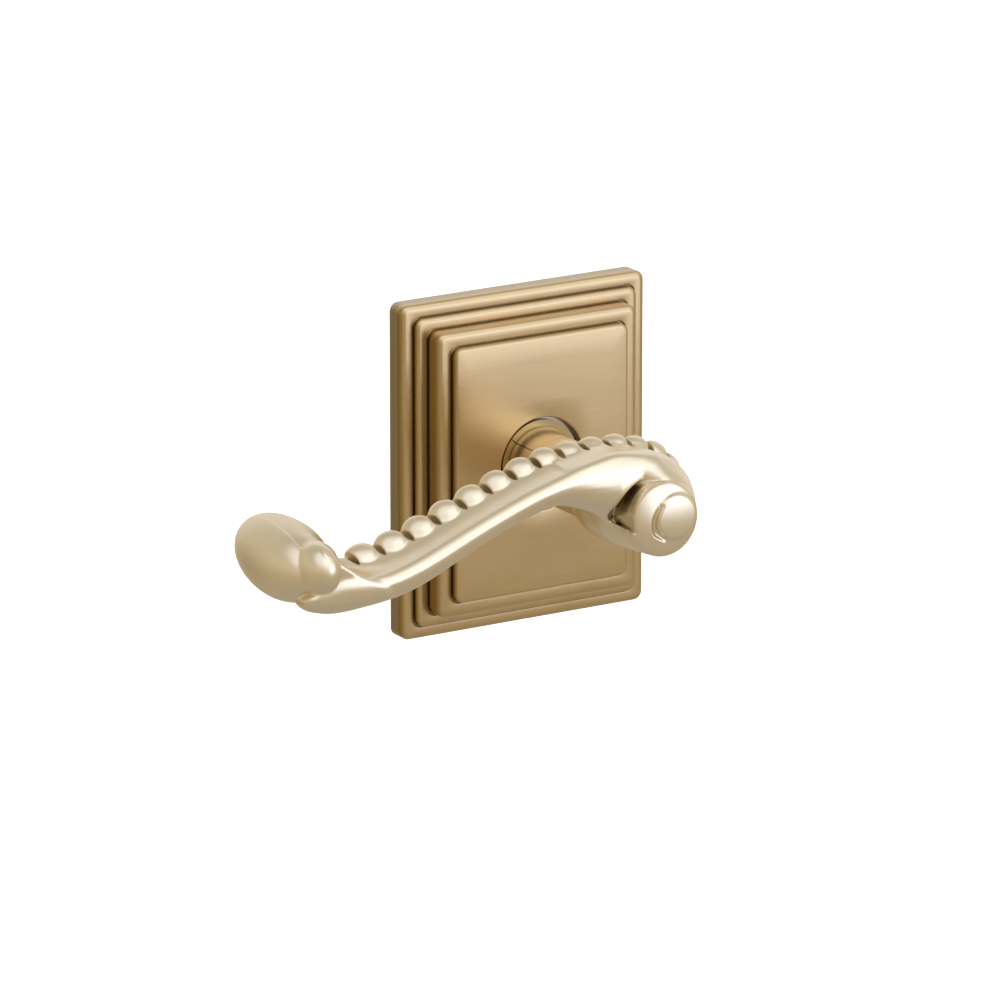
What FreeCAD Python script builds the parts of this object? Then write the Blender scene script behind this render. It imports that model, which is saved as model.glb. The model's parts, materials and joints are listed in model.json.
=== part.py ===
import FreeCAD, Part
import math
import os

# Outside trim of a lever handle lockset: a stepped rectangular rosette, the scroll lever that
# turns in front of it, and the spring cassette, posts and square spindle hidden behind.
# Millimetres. +Z is up, -Y points out of the door, and the lever lies along -X. The origin is on
# the spindle axis at the door face. "Out" is the distance from the door face towards the user.

V = FreeCAD.Vector
OUTWARD = V(0, -1, 0)
INTO_DOOR = V(0, 1, 0)

# ---- driving dimensions -------------------------------------------------------------------
DOOR_BORE_D = 54.0            # standard cross bore the trim has to cover
SPINDLE_SIDE = 8.0            # square spindle
POST_SPACING = 38.0           # through-bolt posts, either side of the spindle
SWING_DEG = 45.0              # lever travel each way
RUNNING_GAP = 0.05            # radial clearance of a turning fit
SEAT_GAP = 0.03               # clearance of parts that are fixed together

# Rosette tiers, from the door outwards: half width, half height, how far out the face stands.
ROSETTE_TIERS = ((33.5, 40.6, 5.5), (30.3, 37.3, 7.2), (27.4, 34.2, 11.9), (23.8, 30.9, 13.8))
ROSETTE_CORNER_R = 2.0
ROSETTE_EDGE_R = 1.1
ROSETTE_SHELL = 1.9           # thickness of the rosette wall
ROSETTE_HOLE_R = 11.2
ROSETTE_HOLE_EDGE = 0.5
SHELL_CORNER_R = 1.0
SCREW_BOSS_AT = (21.5, 28.2)
SCREW_BOSS_R = 3.2
ROSETTE_SCREW_R = 1.5
ROSETTE_SCREW_HEAD_R = 2.8
ROSETTE_SCREW_HEAD_DEEP = 1.3
ROSETTE_SCREW_END = 9.0
ROSETTE_SCREW_HOLE_END = ROSETTE_SCREW_END + 0.6
ROSETTE_SCREW_DRIVE_R = 1.1
ROSETTE_SCREW_DRIVE_DEEP = 0.8
SINK_GAP = 0.1                # clearance round a countersunk head

GASKET_THICK = 1.0
PLATE_THICK = 2.0
PLATE_MARGIN = 0.3            # plate to rosette wall, all round
PLATE_FRONT = GASKET_THICK + PLATE_THICK
PLATE_CORNER_R = 1.5

# Plastic ring that fits the cross bore, with pegs into the plate.
BORE_RING_R = DOOR_BORE_D / 2 - 0.1
BORE_RING_WALL = 2.8
BORE_RING_DEEP = 3.0
BORE_RING_STEP = 0.4
GASKET_BORE_GAP = 0.2
RING_PEG_ANGLES = (30, 150, 270)
RING_PEG_R = 1.0
RING_PEG_REACH = 1.6
RING_PEG_AT = BORE_RING_R - BORE_RING_WALL / 2 - 0.2

CASSETTE_R = 20.5
CASSETTE_WALL = 3.7
CASSETTE_BASE = 1.0
COVER_BACK = 10.6
COVER_FRONT = 11.6
CASSETTE_SCREW_R = 1.25
CASSETTE_SCREW_HEAD_R = 2.05
CASSETTE_SCREW_BACK = GASKET_THICK + 0.2
CASSETTE_SLOT = (2.8, 0.5)    # length, and width and depth
CASSETTE_SCREW_ANGLES = (45, 135, 225, 315)
CASSETTE_SCREW_AT = CASSETTE_R - CASSETTE_WALL / 2

HUB_R = 8.0
HUB_FRONT = 11.9
HUB_TAIL = -2.4
HUB_FLANGE_R = 13.5
HUB_FLANGE_OUT = (4.7, 6.0)
STOP_PIN_R = 1.5
STOP_PIN_AT = 15.2
STOP_PIN_FRONT = 7.4
STOP_SLACK_DEG = 1.0
STOP_LUG_HALF_DEG = 8.0
STOP_LUG_R = STOP_PIN_AT + 1.2
LUG_ROOT_R = HUB_FLANGE_R - 1.0
TANG_FOOT_R = 14.9
TANG_FOOT_HALF_DEG = 12.0
TANG_FRONT = 10.1
TANG_AT = 14.8                # underside of the tang, below the spindle axis
TANG_THICK = 1.0
RIB_FRONT = 10.4
RIB_LENGTH = 4.1
RIB_HIGH = 2.2
RIB_ROOT = 0.7                # how far the rib runs into the cassette wall

SPINDLE_PIN_R = 1.0
SPINDLE_PIN_OUT = 8.0
CLIP_GROOVE_R = 7.2
CLIP_OUT = (-1.7, -0.7)
CLIP_R = 9.6
CLIP_EYE_AT = 10.2
CLIP_EYE_R = 1.5
CLIP_EYE_HOLE_R = 0.7
CLIP_EYE_DEG = 14.0
CLIP_OPENING = 2.6
THRUST_WASHER_R = 11.5
THRUST_WASHER_BACK = 0.2
SPRING_WASHER_R = 10.6
SPRING_WASHER_THICK = 0.37
SPRING_WASHER_CONE = 0.47     # how far its outer edge stands in front of its inner one

BUSHING_WALL = 2.1
BUSHING_SEAT_R = HUB_R + RUNNING_GAP + BUSHING_WALL + SEAT_GAP
BUSHING_FLANGE_R = 11.8
BUSHING_FLANGE_GAP = 0.1      # end play under the hub's flange
FRONT_BUSHING_BACK = 9.4
SPRING_WIRE_R = 0.6
SPRING_COIL_R = 13.0
SPRING_PITCH = 1.3
SPRING_TURNS = 2
TANG_HALF_WIDTH = 1.3
SPRING_STEPS_PER_TURN = 16
SPRING_LEG_END = 16.2         # how far the legs reach below the spindle axis
SPRING_FLANGE_GAP = 0.2

SPINDLE_OUT = 34.0            # front end, inside the lever
SPINDLE_IN = 47.0             # rear end, past the latch and into the inside lever
SPINDLE_CHAMFER = 0.8
SPINDLE_PIN_INSET = 0.3
POST_R = 4.0
POST_LENGTH = 18.0
POST_THREAD_R = 2.1
POST_THREAD_DEPTH = 14.0
POST_RIVET_R = 3.0

NECK_BACK = 12.0
NECK_FRONT = 37.0
SHANK_R = 7.0
NECK_BASE_R = 8.8
NECK_TOP_R = 8.1
NECK_FLANGE_R = 10.4
NECK_FLANGE_FRONT = NECK_BACK + 0.7
NECK_TAPER_END = NECK_BACK + 9.0
NECK_SEAM_DEG = 139.0
NECK_SEAM_WIDE = 0.2
SET_SCREW_OUT = 25.0
SET_SCREW_R = 2.5
SET_SCREW_LENGTH = 3.6
SET_SCREW_HEX_HALF = 1.25
SET_SCREW_HEX_DEEP = 2.0
SET_SCREW_HOLE_GAP = 0.2
SOCKET_FLOOR = SPINDLE_OUT + 0.5

# Head scroll, turned about the spindle axis.
COLLAR_MID = (9.1, 40.8)      # radius and out, half way up the flare
DRUM_R = 10.4
DRUM_BACK = 45.0
DRUM_FRONT = 59.0
DISC_R = 9.0
DISC_AT = (0.5, -0.7)
DISC_FRONT = 66.8
DISC_RIM = 0.9
DISC_DOME = 1.7
EYE_R = 5.4
EYE_AT = (2.4, 0.1)
EYE_FRONT = 68.7
EYE_RIM = 0.7
EYE_DOME = 0.5

# Lever arm: centre x, centre z, half height, half depth and middle depth of each station, from
# the tip, up the S-curve, over the head and clockwise round it.
ARM_STATIONS = (
    (-91.6, -8.4, 1.7, 3.6, 57.2),
    (-88.5, -8.6, 2.7, 4.8, 56.8),
    (-84.5, -8.4, 4.0, 5.8, 56.2),
    (-78.0, -7.6, 4.9, 6.6, 55.6),
    (-64.5, -5.2, 5.4, 6.7, 55.3),
    (-49.6, 0.4, 4.9, 6.7, 55.0),
    (-35.7, 5.8, 4.8, 6.7, 55.0),
    (-21.9, 9.2, 5.6, 6.8, 55.0),
    (-10.0, 8.6, 7.2, 7.2, 55.0),
    (-0.5, 8.2, 6.0, 7.4, 55.0),
    (5.9, 4.9, 5.2, 7.2, 54.8),
    (8.1, -1.2, 4.2, 6.6, 54.2),
    (4.6, -6.6, 3.0, 6.0, 53.6),
)
WEB_SWEEP = ((-17.0, 4.2), (-12.4, 1.2), (-8.2, -3.4), (-4.6, -8.0))
WEB_BACK = 51.0
WEB_FRONT = 60.0
BEAD_OUT = 51.4
BEAD_COUNT = 16
BEAD_FIRST_X = -72.0
BEAD_PITCH = 7.9
BEAD_PITCH_SHRINK = 0.19
BEAD_R = 3.0
BEAD_R_SHRINK = 0.05
BEAD_SEAT = 0.80              # bead centres, as a share of the arm's half height

# Egg-shaped roll at the free end, tilted down towards the user, with a smaller eye in front.
ROLL_CENTRE = (-88.0, 43.4, -1.2)
ROLL_HALF_LENGTH = 17.0
ROLL_R = 9.3
ROLL_TILT_DEG = 7.0
TIP_EYE_CENTRE = (-86.9, 57.2, -1.4)
TIP_EYE_HALF_LENGTH = 6.6
TIP_EYE_R = 5.7


# ---- small helpers ------------------------------------------------------------------------
def at(x, out, z):
    """The point at x, z, a distance out from the door face."""
    return V(x, -out, z)


def polar(radius, degrees, out=0.0):
    """The point at a radius and angle about the spindle axis, seen from the user's side."""
    angle = math.radians(degrees)
    return at(radius * math.cos(angle), out, radius * math.sin(angle))


def rod(radius, out_near, out_far, x=0.0, z=0.0):
    """A cylinder along the spindle direction between two distances from the door face."""
    return Part.makeCylinder(radius, out_far - out_near, at(x, out_near, z), OUTWARD)


def ring(inner_r, outer_r, out_near, out_far):
    return rod(outer_r, out_near, out_far).cut(rod(inner_r, out_near, out_far))


def square_bar(half_side, out_near, out_far):
    corner = at(-half_side, out_far, -half_side)
    return Part.makeBox(2 * half_side, out_far - out_near, 2 * half_side, corner)


def block(half_w, half_h, out_near, out_far, corner_r, edge_r=0.0):
    """A plate-like block centred on the spindle axis, with round corners and a round front edge."""
    solid = Part.makeBox(2 * half_w, out_far - out_near, 2 * half_h, at(-half_w, out_far, -half_h))
    corners = [e for e in solid.Edges if abs(e.tangentAt(e.FirstParameter).y) > 0.9]
    solid = solid.makeFillet(corner_r, corners)
    if edge_r > 0.0:
        rim = [e for e in solid.Edges if abs(e.BoundBox.YMin + out_far) < 1e-6 and e.BoundBox.YLength < 1e-6]
        solid = solid.makeFillet(edge_r, rim)
    return solid


def turned(profile):
    """A solid turned about the spindle axis from (radius, out) corners."""
    points = [at(radius, out, 0) for radius, out in profile]
    face = Part.Face(Part.makePolygon(points + points[:1]))
    return face.revolve(V(0, 0, 0), INTO_DOOR, 360)


def egg(centre, half_length, radius, tilt_deg=0.0):
    """An ellipse turned about its long axis, which points outward and is tipped downward."""
    ellipse = Part.Ellipse(V(0, 0, 0), half_length, radius)
    half_outline = Part.ArcOfEllipse(ellipse, 0, math.pi).toShape()
    axis_edge = Part.makeLine(V(-half_length, 0, 0), V(half_length, 0, 0))
    solid = Part.Face(Part.Wire([half_outline, axis_edge])).revolve(V(0, 0, 0), V(1, 0, 0), 360)
    solid.rotate(V(0, 0, 0), V(0, 0, 1), -90)
    solid.rotate(V(0, 0, 0), V(1, 0, 0), tilt_deg)
    solid.translate(at(*centre))
    return solid


def mirrored_copies(make, positions):
    return Part.makeCompound([make(x, z) for x, z in positions])


def corner_positions(x, z):
    return [(sx * x, sz * z) for sx in (-1, 1) for sz in (-1, 1)]


# ---- fixed parts --------------------------------------------------------------------------
def rosette():
    """Hollow four-tier cover plate with a hole for the neck and a screw boss in each corner."""
    solid = None
    hollow = None
    for half_w, half_h, out in ROSETTE_TIERS:
        tier = block(half_w, half_h, 0, out, ROSETTE_CORNER_R, ROSETTE_EDGE_R)
        inside = block(half_w - ROSETTE_SHELL, half_h - ROSETTE_SHELL, 0, out - ROSETTE_SHELL, SHELL_CORNER_R)
        solid = tier if solid is None else solid.fuse(tier)
        hollow = inside if hollow is None else hollow.fuse(inside)
    front = ROSETTE_TIERS[-1][2]
    boss_spots = corner_positions(*SCREW_BOSS_AT)
    bosses = mirrored_copies(lambda x, z: rod(SCREW_BOSS_R, PLATE_FRONT + SEAT_GAP, front, x, z), boss_spots)
    bosses = hollow.common(bosses)
    solid = solid.cut(hollow).fuse(bosses)
    edge_back = front - ROSETTE_HOLE_EDGE
    hole_rim = turned((
        (0, edge_back), (ROSETTE_HOLE_R, edge_back), (ROSETTE_HOLE_R + ROSETTE_HOLE_EDGE, front), (0, front)))
    solid = solid.cut(rod(ROSETTE_HOLE_R, 0, front)).cut(hole_rim)
    for x, z in boss_spots:
        solid = solid.cut(rod(ROSETTE_SCREW_R + SEAT_GAP, 0, ROSETTE_SCREW_HOLE_END, x, z))
    return solid


def rosette_screw(x, z):
    """Countersunk screw from the back of the plate into a rosette boss."""
    neck = GASKET_THICK + ROSETTE_SCREW_HEAD_DEEP
    head = turned((
        (0, GASKET_THICK), (ROSETTE_SCREW_HEAD_R, GASKET_THICK), (ROSETTE_SCREW_R, neck), (0, neck)))
    screw = head.fuse(rod(ROSETTE_SCREW_R, GASKET_THICK, ROSETTE_SCREW_END))
    screw = screw.cut(rod(ROSETTE_SCREW_DRIVE_R, GASKET_THICK, GASKET_THICK + ROSETTE_SCREW_DRIVE_DEEP))
    screw.translate(V(x, 0, z))
    return screw


def rosette_screws():
    return mirrored_copies(rosette_screw, corner_positions(*SCREW_BOSS_AT))


def mounting_plate():
    """Steel plate that carries the cassette, the posts and the rosette."""
    half_w, half_h, _ = ROSETTE_TIERS[0]
    inset = ROSETTE_SHELL + PLATE_MARGIN
    solid = block(half_w - inset, half_h - inset, GASKET_THICK, PLATE_FRONT, PLATE_CORNER_R)
    solid = solid.cut(rod(BUSHING_SEAT_R, GASKET_THICK, PLATE_FRONT))
    for side in (-1, 1):
        solid = solid.cut(rod(POST_RIVET_R + SEAT_GAP, GASKET_THICK, PLATE_FRONT, side * POST_SPACING / 2))
    for angle in CASSETTE_SCREW_ANGLES:
        spot = polar(CASSETTE_SCREW_AT, angle)
        solid = solid.cut(rod(CASSETTE_SCREW_R + SEAT_GAP, GASKET_THICK, PLATE_FRONT, spot.x, spot.z))
    for angle in RING_PEG_ANGLES:
        spot = polar(RING_PEG_AT, angle)
        solid = solid.cut(rod(RING_PEG_R + SEAT_GAP, GASKET_THICK, PLATE_FRONT, spot.x, spot.z))
    for x, z in corner_positions(*SCREW_BOSS_AT):
        sink = turned((
            (0, GASKET_THICK), (ROSETTE_SCREW_HEAD_R + SINK_GAP, GASKET_THICK),
            (ROSETTE_SCREW_R + SINK_GAP, GASKET_THICK + ROSETTE_SCREW_HEAD_DEEP),
            (ROSETTE_SCREW_R + SINK_GAP, PLATE_FRONT), (0, PLATE_FRONT)))
        sink.translate(V(x, 0, z))
        solid = solid.cut(sink)
    return solid


def door_gasket():
    """Fibre gasket between the plate and the door, open over the cross bore."""
    half_w, half_h, _ = ROSETTE_TIERS[0]
    inset = ROSETTE_SHELL + PLATE_MARGIN
    solid = block(half_w - inset, half_h - inset, 0, GASKET_THICK, PLATE_CORNER_R)
    return solid.cut(rod(DOOR_BORE_D / 2 + GASKET_BORE_GAP, 0, GASKET_THICK))


def bore_locating_ring():
    """Plastic ring that centres the trim in the door's cross bore, pegged to the plate."""
    inner_r = BORE_RING_R - BORE_RING_WALL
    solid = ring(inner_r, BORE_RING_R, -BORE_RING_DEEP, 0)
    solid = solid.fuse(ring(inner_r, BORE_RING_R - BORE_RING_STEP, 0, GASKET_THICK))
    for angle in RING_PEG_ANGLES:
        spot = polar(RING_PEG_AT, angle)
        solid = solid.fuse(rod(RING_PEG_R, 0, GASKET_THICK + RING_PEG_REACH, spot.x, spot.z))
    return solid


def threaded_post(x, z):
    """Internally threaded post riveted into the plate, for a bolt from the inside trim."""
    solid = rod(POST_R, GASKET_THICK - POST_LENGTH, GASKET_THICK, x, z)
    solid = solid.fuse(rod(POST_RIVET_R, GASKET_THICK, PLATE_FRONT, x, z))
    end = GASKET_THICK - POST_LENGTH
    return solid.cut(rod(POST_THREAD_R, end, end + POST_THREAD_DEPTH, x, z))


def threaded_posts():
    return mirrored_copies(threaded_post, [(-POST_SPACING / 2, 0), (POST_SPACING / 2, 0)])


def cassette_housing():
    """Cup screwed to the plate: it holds the return spring, the stop pins and the hub flange."""
    base_front = PLATE_FRONT + CASSETTE_BASE
    inner_r = CASSETTE_R - CASSETTE_WALL
    solid = ring(BUSHING_SEAT_R, CASSETTE_R, PLATE_FRONT, base_front)
    solid = solid.fuse(ring(inner_r, CASSETTE_R, base_front, COVER_BACK))
    rib_corner = at(-TANG_HALF_WIDTH, RIB_FRONT, -inner_r - RIB_ROOT)
    rib = Part.makeBox(2 * TANG_HALF_WIDTH, RIB_LENGTH, RIB_HIGH, rib_corner)
    solid = solid.fuse(rib)
    for angle in CASSETTE_SCREW_ANGLES:
        spot = polar(CASSETTE_SCREW_AT, angle)
        solid = solid.cut(rod(CASSETTE_SCREW_R + SEAT_GAP, PLATE_FRONT, COVER_BACK, spot.x, spot.z))
    for angle in stop_pin_angles():
        spot = polar(STOP_PIN_AT, angle)
        solid = solid.cut(rod(STOP_PIN_R + SEAT_GAP, PLATE_FRONT, base_front, spot.x, spot.z))
    return solid


def stop_pin_angles():
    """Each pin meets the hub's stop lug just past the end of the lever's travel."""
    pin_half_deg = math.degrees(math.asin(STOP_PIN_R / STOP_PIN_AT))
    reach = SWING_DEG + STOP_LUG_HALF_DEG + pin_half_deg + STOP_SLACK_DEG
    return (90 - reach, 90 + reach)


def stop_pins():
    pins = []
    for angle in stop_pin_angles():
        spot = polar(STOP_PIN_AT, angle)
        pins.append(rod(STOP_PIN_R, PLATE_FRONT, STOP_PIN_FRONT, spot.x, spot.z))
    return Part.makeCompound(pins)


def cassette_cover():
    solid = ring(BUSHING_SEAT_R, CASSETTE_R, COVER_BACK, COVER_FRONT)
    for angle in CASSETTE_SCREW_ANGLES:
        spot = polar(CASSETTE_SCREW_AT, angle)
        sink = turned((
            (0, COVER_BACK), (CASSETTE_SCREW_R + SEAT_GAP, COVER_BACK),
            (CASSETTE_SCREW_HEAD_R + SEAT_GAP, COVER_FRONT), (0, COVER_FRONT)))
        sink.translate(V(spot.x, 0, spot.z))
        solid = solid.cut(sink)
    return solid


def cassette_screws():
    """Countersunk screws that hold the cover and housing to the plate."""
    screws = []
    for angle in CASSETTE_SCREW_ANGLES:
        spot = polar(CASSETTE_SCREW_AT, angle)
        screw = turned((
            (0, CASSETTE_SCREW_BACK), (CASSETTE_SCREW_R, CASSETTE_SCREW_BACK), (CASSETTE_SCREW_R, COVER_BACK),
            (CASSETTE_SCREW_HEAD_R, COVER_FRONT), (0, COVER_FRONT)))
        long, wide = CASSETTE_SLOT
        screw = screw.cut(Part.makeBox(long, wide, wide, at(-long / 2, COVER_FRONT, -wide / 2)))
        screw.translate(V(spot.x, 0, spot.z))
        screws.append(screw)
    return Part.makeCompound(screws)


def rear_bushing():
    """Plastic bearing for the hub in the plate, with a flange under the hub's own flange."""
    inner_r = HUB_R + RUNNING_GAP
    outer_r = inner_r + BUSHING_WALL
    base_front = PLATE_FRONT + CASSETTE_BASE
    flange = ring(inner_r, BUSHING_FLANGE_R, base_front, HUB_FLANGE_OUT[0] - BUSHING_FLANGE_GAP)
    return ring(inner_r, outer_r, GASKET_THICK, base_front).fuse(flange)


def front_bushing():
    """Plastic bearing for the hub in the cassette cover."""
    inner_r = HUB_R + RUNNING_GAP
    outer_r = inner_r + BUSHING_WALL
    flange = ring(inner_r, BUSHING_FLANGE_R, FRONT_BUSHING_BACK, COVER_BACK)
    return ring(inner_r, outer_r, FRONT_BUSHING_BACK, COVER_FRONT).fuse(flange)


# ---- turning parts ------------------------------------------------------------------------
def hub():
    """Hub that takes the spindle: a flange with the stop lug above and the spring tang below."""
    near, far = HUB_FLANGE_OUT
    solid = rod(HUB_R, HUB_TAIL, HUB_FRONT).fuse(rod(HUB_FLANGE_R, near, far))
    lug = sector(LUG_ROOT_R, STOP_LUG_R, 90, STOP_LUG_HALF_DEG, near, far)
    foot = sector(LUG_ROOT_R, TANG_FOOT_R, 270, TANG_FOOT_HALF_DEG, near, far)
    tang_corner = at(-TANG_HALF_WIDTH, TANG_FRONT, -TANG_AT)
    tang = Part.makeBox(2 * TANG_HALF_WIDTH, TANG_FRONT - near, TANG_THICK, tang_corner)
    solid = solid.fuse(lug).fuse(foot).fuse(tang)
    solid = solid.cut(square_bar(SPINDLE_SIDE / 2 + SEAT_GAP, HUB_TAIL, HUB_FRONT))
    solid = solid.cut(ring(CLIP_GROOVE_R, HUB_R + 1.0, *CLIP_OUT))
    return solid.cut(spindle_pin_hole())


def spindle_pin_hole():
    """Cross hole through the hub and the spindle."""
    return Part.makeCylinder(SPINDLE_PIN_R + SEAT_GAP, 2 * HUB_R, at(-HUB_R, SPINDLE_PIN_OUT, 0), V(1, 0, 0))


def sector(inner_r, outer_r, middle_deg, half_deg, out_near, out_far):
    """A piece of a flat ring, centred on an angle about the spindle axis."""
    first = middle_deg - half_deg
    last = middle_deg + half_deg
    outer = Part.Arc(polar(outer_r, first), polar(outer_r, middle_deg), polar(outer_r, last)).toShape()
    inner = Part.Arc(polar(inner_r, last), polar(inner_r, middle_deg), polar(inner_r, first)).toShape()
    sides = [
        Part.makeLine(polar(outer_r, last), polar(inner_r, last)),
        Part.makeLine(polar(inner_r, first), polar(outer_r, first))]
    face = Part.Face(Part.Wire([outer, sides[0], inner, sides[1]]))
    face.translate(at(0, out_near, 0))
    return face.extrude(V(0, out_near - out_far, 0))


def spindle():
    """Square bar from the lever, through the hub, to the latch and the inside lever."""
    solid = square_bar(SPINDLE_SIDE / 2, -SPINDLE_IN, SPINDLE_OUT)
    ends = [e for e in solid.Edges if e.BoundBox.YLength < 1e-6 and e.BoundBox.YMin > 0]
    solid = solid.makeChamfer(SPINDLE_CHAMFER, ends)
    return solid.cut(spindle_pin_hole())


def spindle_pin():
    """Cross pin that fixes the spindle in the hub."""
    length = 2 * (HUB_R - SPINDLE_PIN_INSET)
    return Part.makeCylinder(SPINDLE_PIN_R, length, at(-length / 2, SPINDLE_PIN_OUT, 0), V(1, 0, 0))


def thrust_washer():
    return ring(HUB_R + RUNNING_GAP, THRUST_WASHER_R, THRUST_WASHER_BACK, GASKET_THICK - SEAT_GAP)


def spring_washer():
    """Conical spring washer that takes the end play out of the hub."""
    inner_r = HUB_R + RUNNING_GAP
    outer_front = THRUST_WASHER_BACK - SEAT_GAP
    outer_back = outer_front - SPRING_WASHER_THICK
    return turned((
        (inner_r, outer_back - SPRING_WASHER_CONE), (SPRING_WASHER_R, outer_back),
        (SPRING_WASHER_R, outer_front), (inner_r, outer_front - SPRING_WASHER_CONE)))


def retaining_ring():
    """Open ring in the hub's groove, with an eye at each end for the fitting pliers."""
    near, far = CLIP_OUT
    solid = ring(CLIP_GROOVE_R + SEAT_GAP, CLIP_R, near + SEAT_GAP, far - SEAT_GAP)
    eyes = [polar(CLIP_EYE_AT, 270 + side * CLIP_EYE_DEG) for side in (-1, 1)]
    for eye in eyes:
        solid = solid.fuse(rod(CLIP_EYE_R, near + SEAT_GAP, far - SEAT_GAP, eye.x, eye.z))
    for eye in eyes:
        solid = solid.cut(rod(CLIP_EYE_HOLE_R, near, far, eye.x, eye.z))
    solid = solid.cut(rod(CLIP_GROOVE_R + SEAT_GAP, near, far))
    reach = CLIP_EYE_AT + CLIP_EYE_R
    opening = Part.makeBox(CLIP_OPENING, far - near, reach, at(-CLIP_OPENING / 2, far, -reach))
    return solid.cut(opening)


def return_spring():
    """Torsion spring round the hub. Its legs straddle the hub's tang and the housing's rib."""
    leg_x = TANG_HALF_WIDTH + SPRING_WIRE_R + SEAT_GAP
    leg_deg = math.degrees(math.asin(leg_x / SPRING_COIL_R))
    turn_deg = 360 * SPRING_TURNS + 2 * leg_deg
    first_out = HUB_FLANGE_OUT[1] + SPRING_WIRE_R + SPRING_FLANGE_GAP
    count = int(SPRING_STEPS_PER_TURN * turn_deg / 360)
    path_points = []
    for step in range(count + 1):
        angle = turn_deg * step / count
        out = first_out + SPRING_PITCH * angle / 360
        path_points.append(polar(SPRING_COIL_R, 270 - leg_deg + angle, out))
    curve = Part.BSplineCurve()
    curve.interpolate(path_points)
    path = Part.Wire([curve.toShape()])
    start = curve.value(curve.FirstParameter)
    heading = curve.tangent(curve.FirstParameter)[0]
    wire_section = Part.Wire([Part.makeCircle(SPRING_WIRE_R, start, heading)])
    solid = path.makePipeShell([wire_section], True, True)
    for end in (path_points[0], path_points[-1]):
        leg = Part.makeCylinder(SPRING_WIRE_R, SPRING_LEG_END + end.z, end, V(0, 0, -1))
        solid = solid.fuse(Part.makeSphere(SPRING_WIRE_R, end)).fuse(leg)
    return solid


def neck_sleeve():
    """Rolled sleeve round the lever's shank, flared at the rosette, with its seam left open."""
    solid = turned((
        (SHANK_R + SEAT_GAP, NECK_BACK), (NECK_FLANGE_R, NECK_BACK), (NECK_FLANGE_R, NECK_FLANGE_FRONT),
        (NECK_BASE_R, NECK_FLANGE_FRONT), (NECK_TOP_R, NECK_TAPER_END), (NECK_TOP_R, NECK_FRONT),
        (SHANK_R + SEAT_GAP, NECK_FRONT)))
    seam = Part.makeBox(NECK_FLANGE_R + 1, NECK_FRONT, NECK_SEAM_WIDE, at(0, NECK_FRONT, -NECK_SEAM_WIDE / 2))
    seam.rotate(V(0, 0, 0), OUTWARD, NECK_SEAM_DEG)
    solid = solid.cut(seam)
    return solid.cut(set_screw_hole(SET_SCREW_R + SET_SCREW_HOLE_GAP))


def set_screw_hole(radius):
    """A hole from the spindle axis down through the neck."""
    return Part.makeCylinder(radius, NECK_FLANGE_R, at(0, SET_SCREW_OUT, 0), V(0, 0, -1))


def lever_set_screw():
    """Grub screw under the neck that grips the spindle."""
    start = -SPINDLE_SIDE / 2
    solid = Part.makeCylinder(SET_SCREW_R, SET_SCREW_LENGTH, at(0, SET_SCREW_OUT, start), V(0, 0, -1))
    hex_top = at(0, SET_SCREW_OUT, start - SET_SCREW_LENGTH + SET_SCREW_HEX_DEEP)
    return solid.cut(hex_prism(SET_SCREW_HEX_HALF, SET_SCREW_HEX_DEEP, hex_top))


def hex_prism(half_flats, length, start):
    """A hexagonal hole running down from a point."""
    radius = half_flats / math.cos(math.pi / 6)
    points = []
    for k in range(7):
        angle = k * math.pi / 3
        points.append(start + V(radius * math.cos(angle), radius * math.sin(angle), 0))
    return Part.Face(Part.makePolygon(points)).extrude(V(0, 0, -length))


def arm_centre_line():
    curve = Part.BSplineCurve()
    curve.interpolate([V(x, 0, z) for x, z, *_ in ARM_STATIONS])
    return curve


def upward_normal(curve, parameter):
    """The direction across the arm, away from the inside of the head scroll."""
    heading = curve.tangent(parameter)[0]
    return V(-heading.z, 0, heading.x)


def arm_section(curve, station):
    """Closed outline of the arm: a full back, a hollow upper slope and a rounded front."""
    x, z, half_height, half_depth, middle = station
    centre = V(x, 0, z)
    up = upward_normal(curve, curve.parameter(centre))
    shape = (
        (-1.0, 0.20), (-0.88, 0.88), (-0.50, 1.0), (0.25, 0.78), (0.90, 0.40), (1.0, -0.25), (0.60, -0.90),
        (-0.35, -0.98), (-0.92, -0.60))
    points = []
    for across, above in shape:
        points.append(centre + up * (above * half_height) + V(0, -(middle + across * half_depth), 0))
    outline = Part.BSplineCurve()
    outline.interpolate(points, PeriodicFlag=True)
    return Part.Wire([outline.toShape()])


def lever_arm():
    curve = arm_centre_line()
    return Part.makeLoft([arm_section(curve, station) for station in ARM_STATIONS], True, False)


def half_height_at(curve, parameter):
    """Half height of the arm between its stations."""
    marks = [curve.parameter(V(x, 0, z)) for x, z, *_ in ARM_STATIONS]
    for k in range(len(marks) - 1):
        if marks[k] <= parameter <= marks[k + 1]:
            share = (parameter - marks[k]) / (marks[k + 1] - marks[k])
            return ARM_STATIONS[k][2] + share * (ARM_STATIONS[k + 1][2] - ARM_STATIONS[k][2])
    return ARM_STATIONS[-1][2]


def bead_spots():
    """Centres and radii of the beads, walked along the arm's upper back edge."""
    curve = arm_centre_line()
    steps = 1200
    first, last = curve.FirstParameter, curve.LastParameter
    spots = []
    walked = 0.0
    wanted = 0.0
    previous = None
    for k in range(steps + 1):
        parameter = first + (last - first) * k / steps
        lift = half_height_at(curve, parameter) * BEAD_SEAT
        rail = curve.value(parameter) + upward_normal(curve, parameter) * lift
        if rail.x < BEAD_FIRST_X and not spots:
            previous = rail
            continue
        walked += (rail - previous).Length
        previous = rail
        if walked >= wanted and len(spots) < BEAD_COUNT:
            index = len(spots)
            spots.append((at(rail.x, BEAD_OUT, rail.z), BEAD_R - BEAD_R_SHRINK * index))
            wanted += BEAD_PITCH - BEAD_PITCH_SHRINK * index
    return spots


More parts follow.
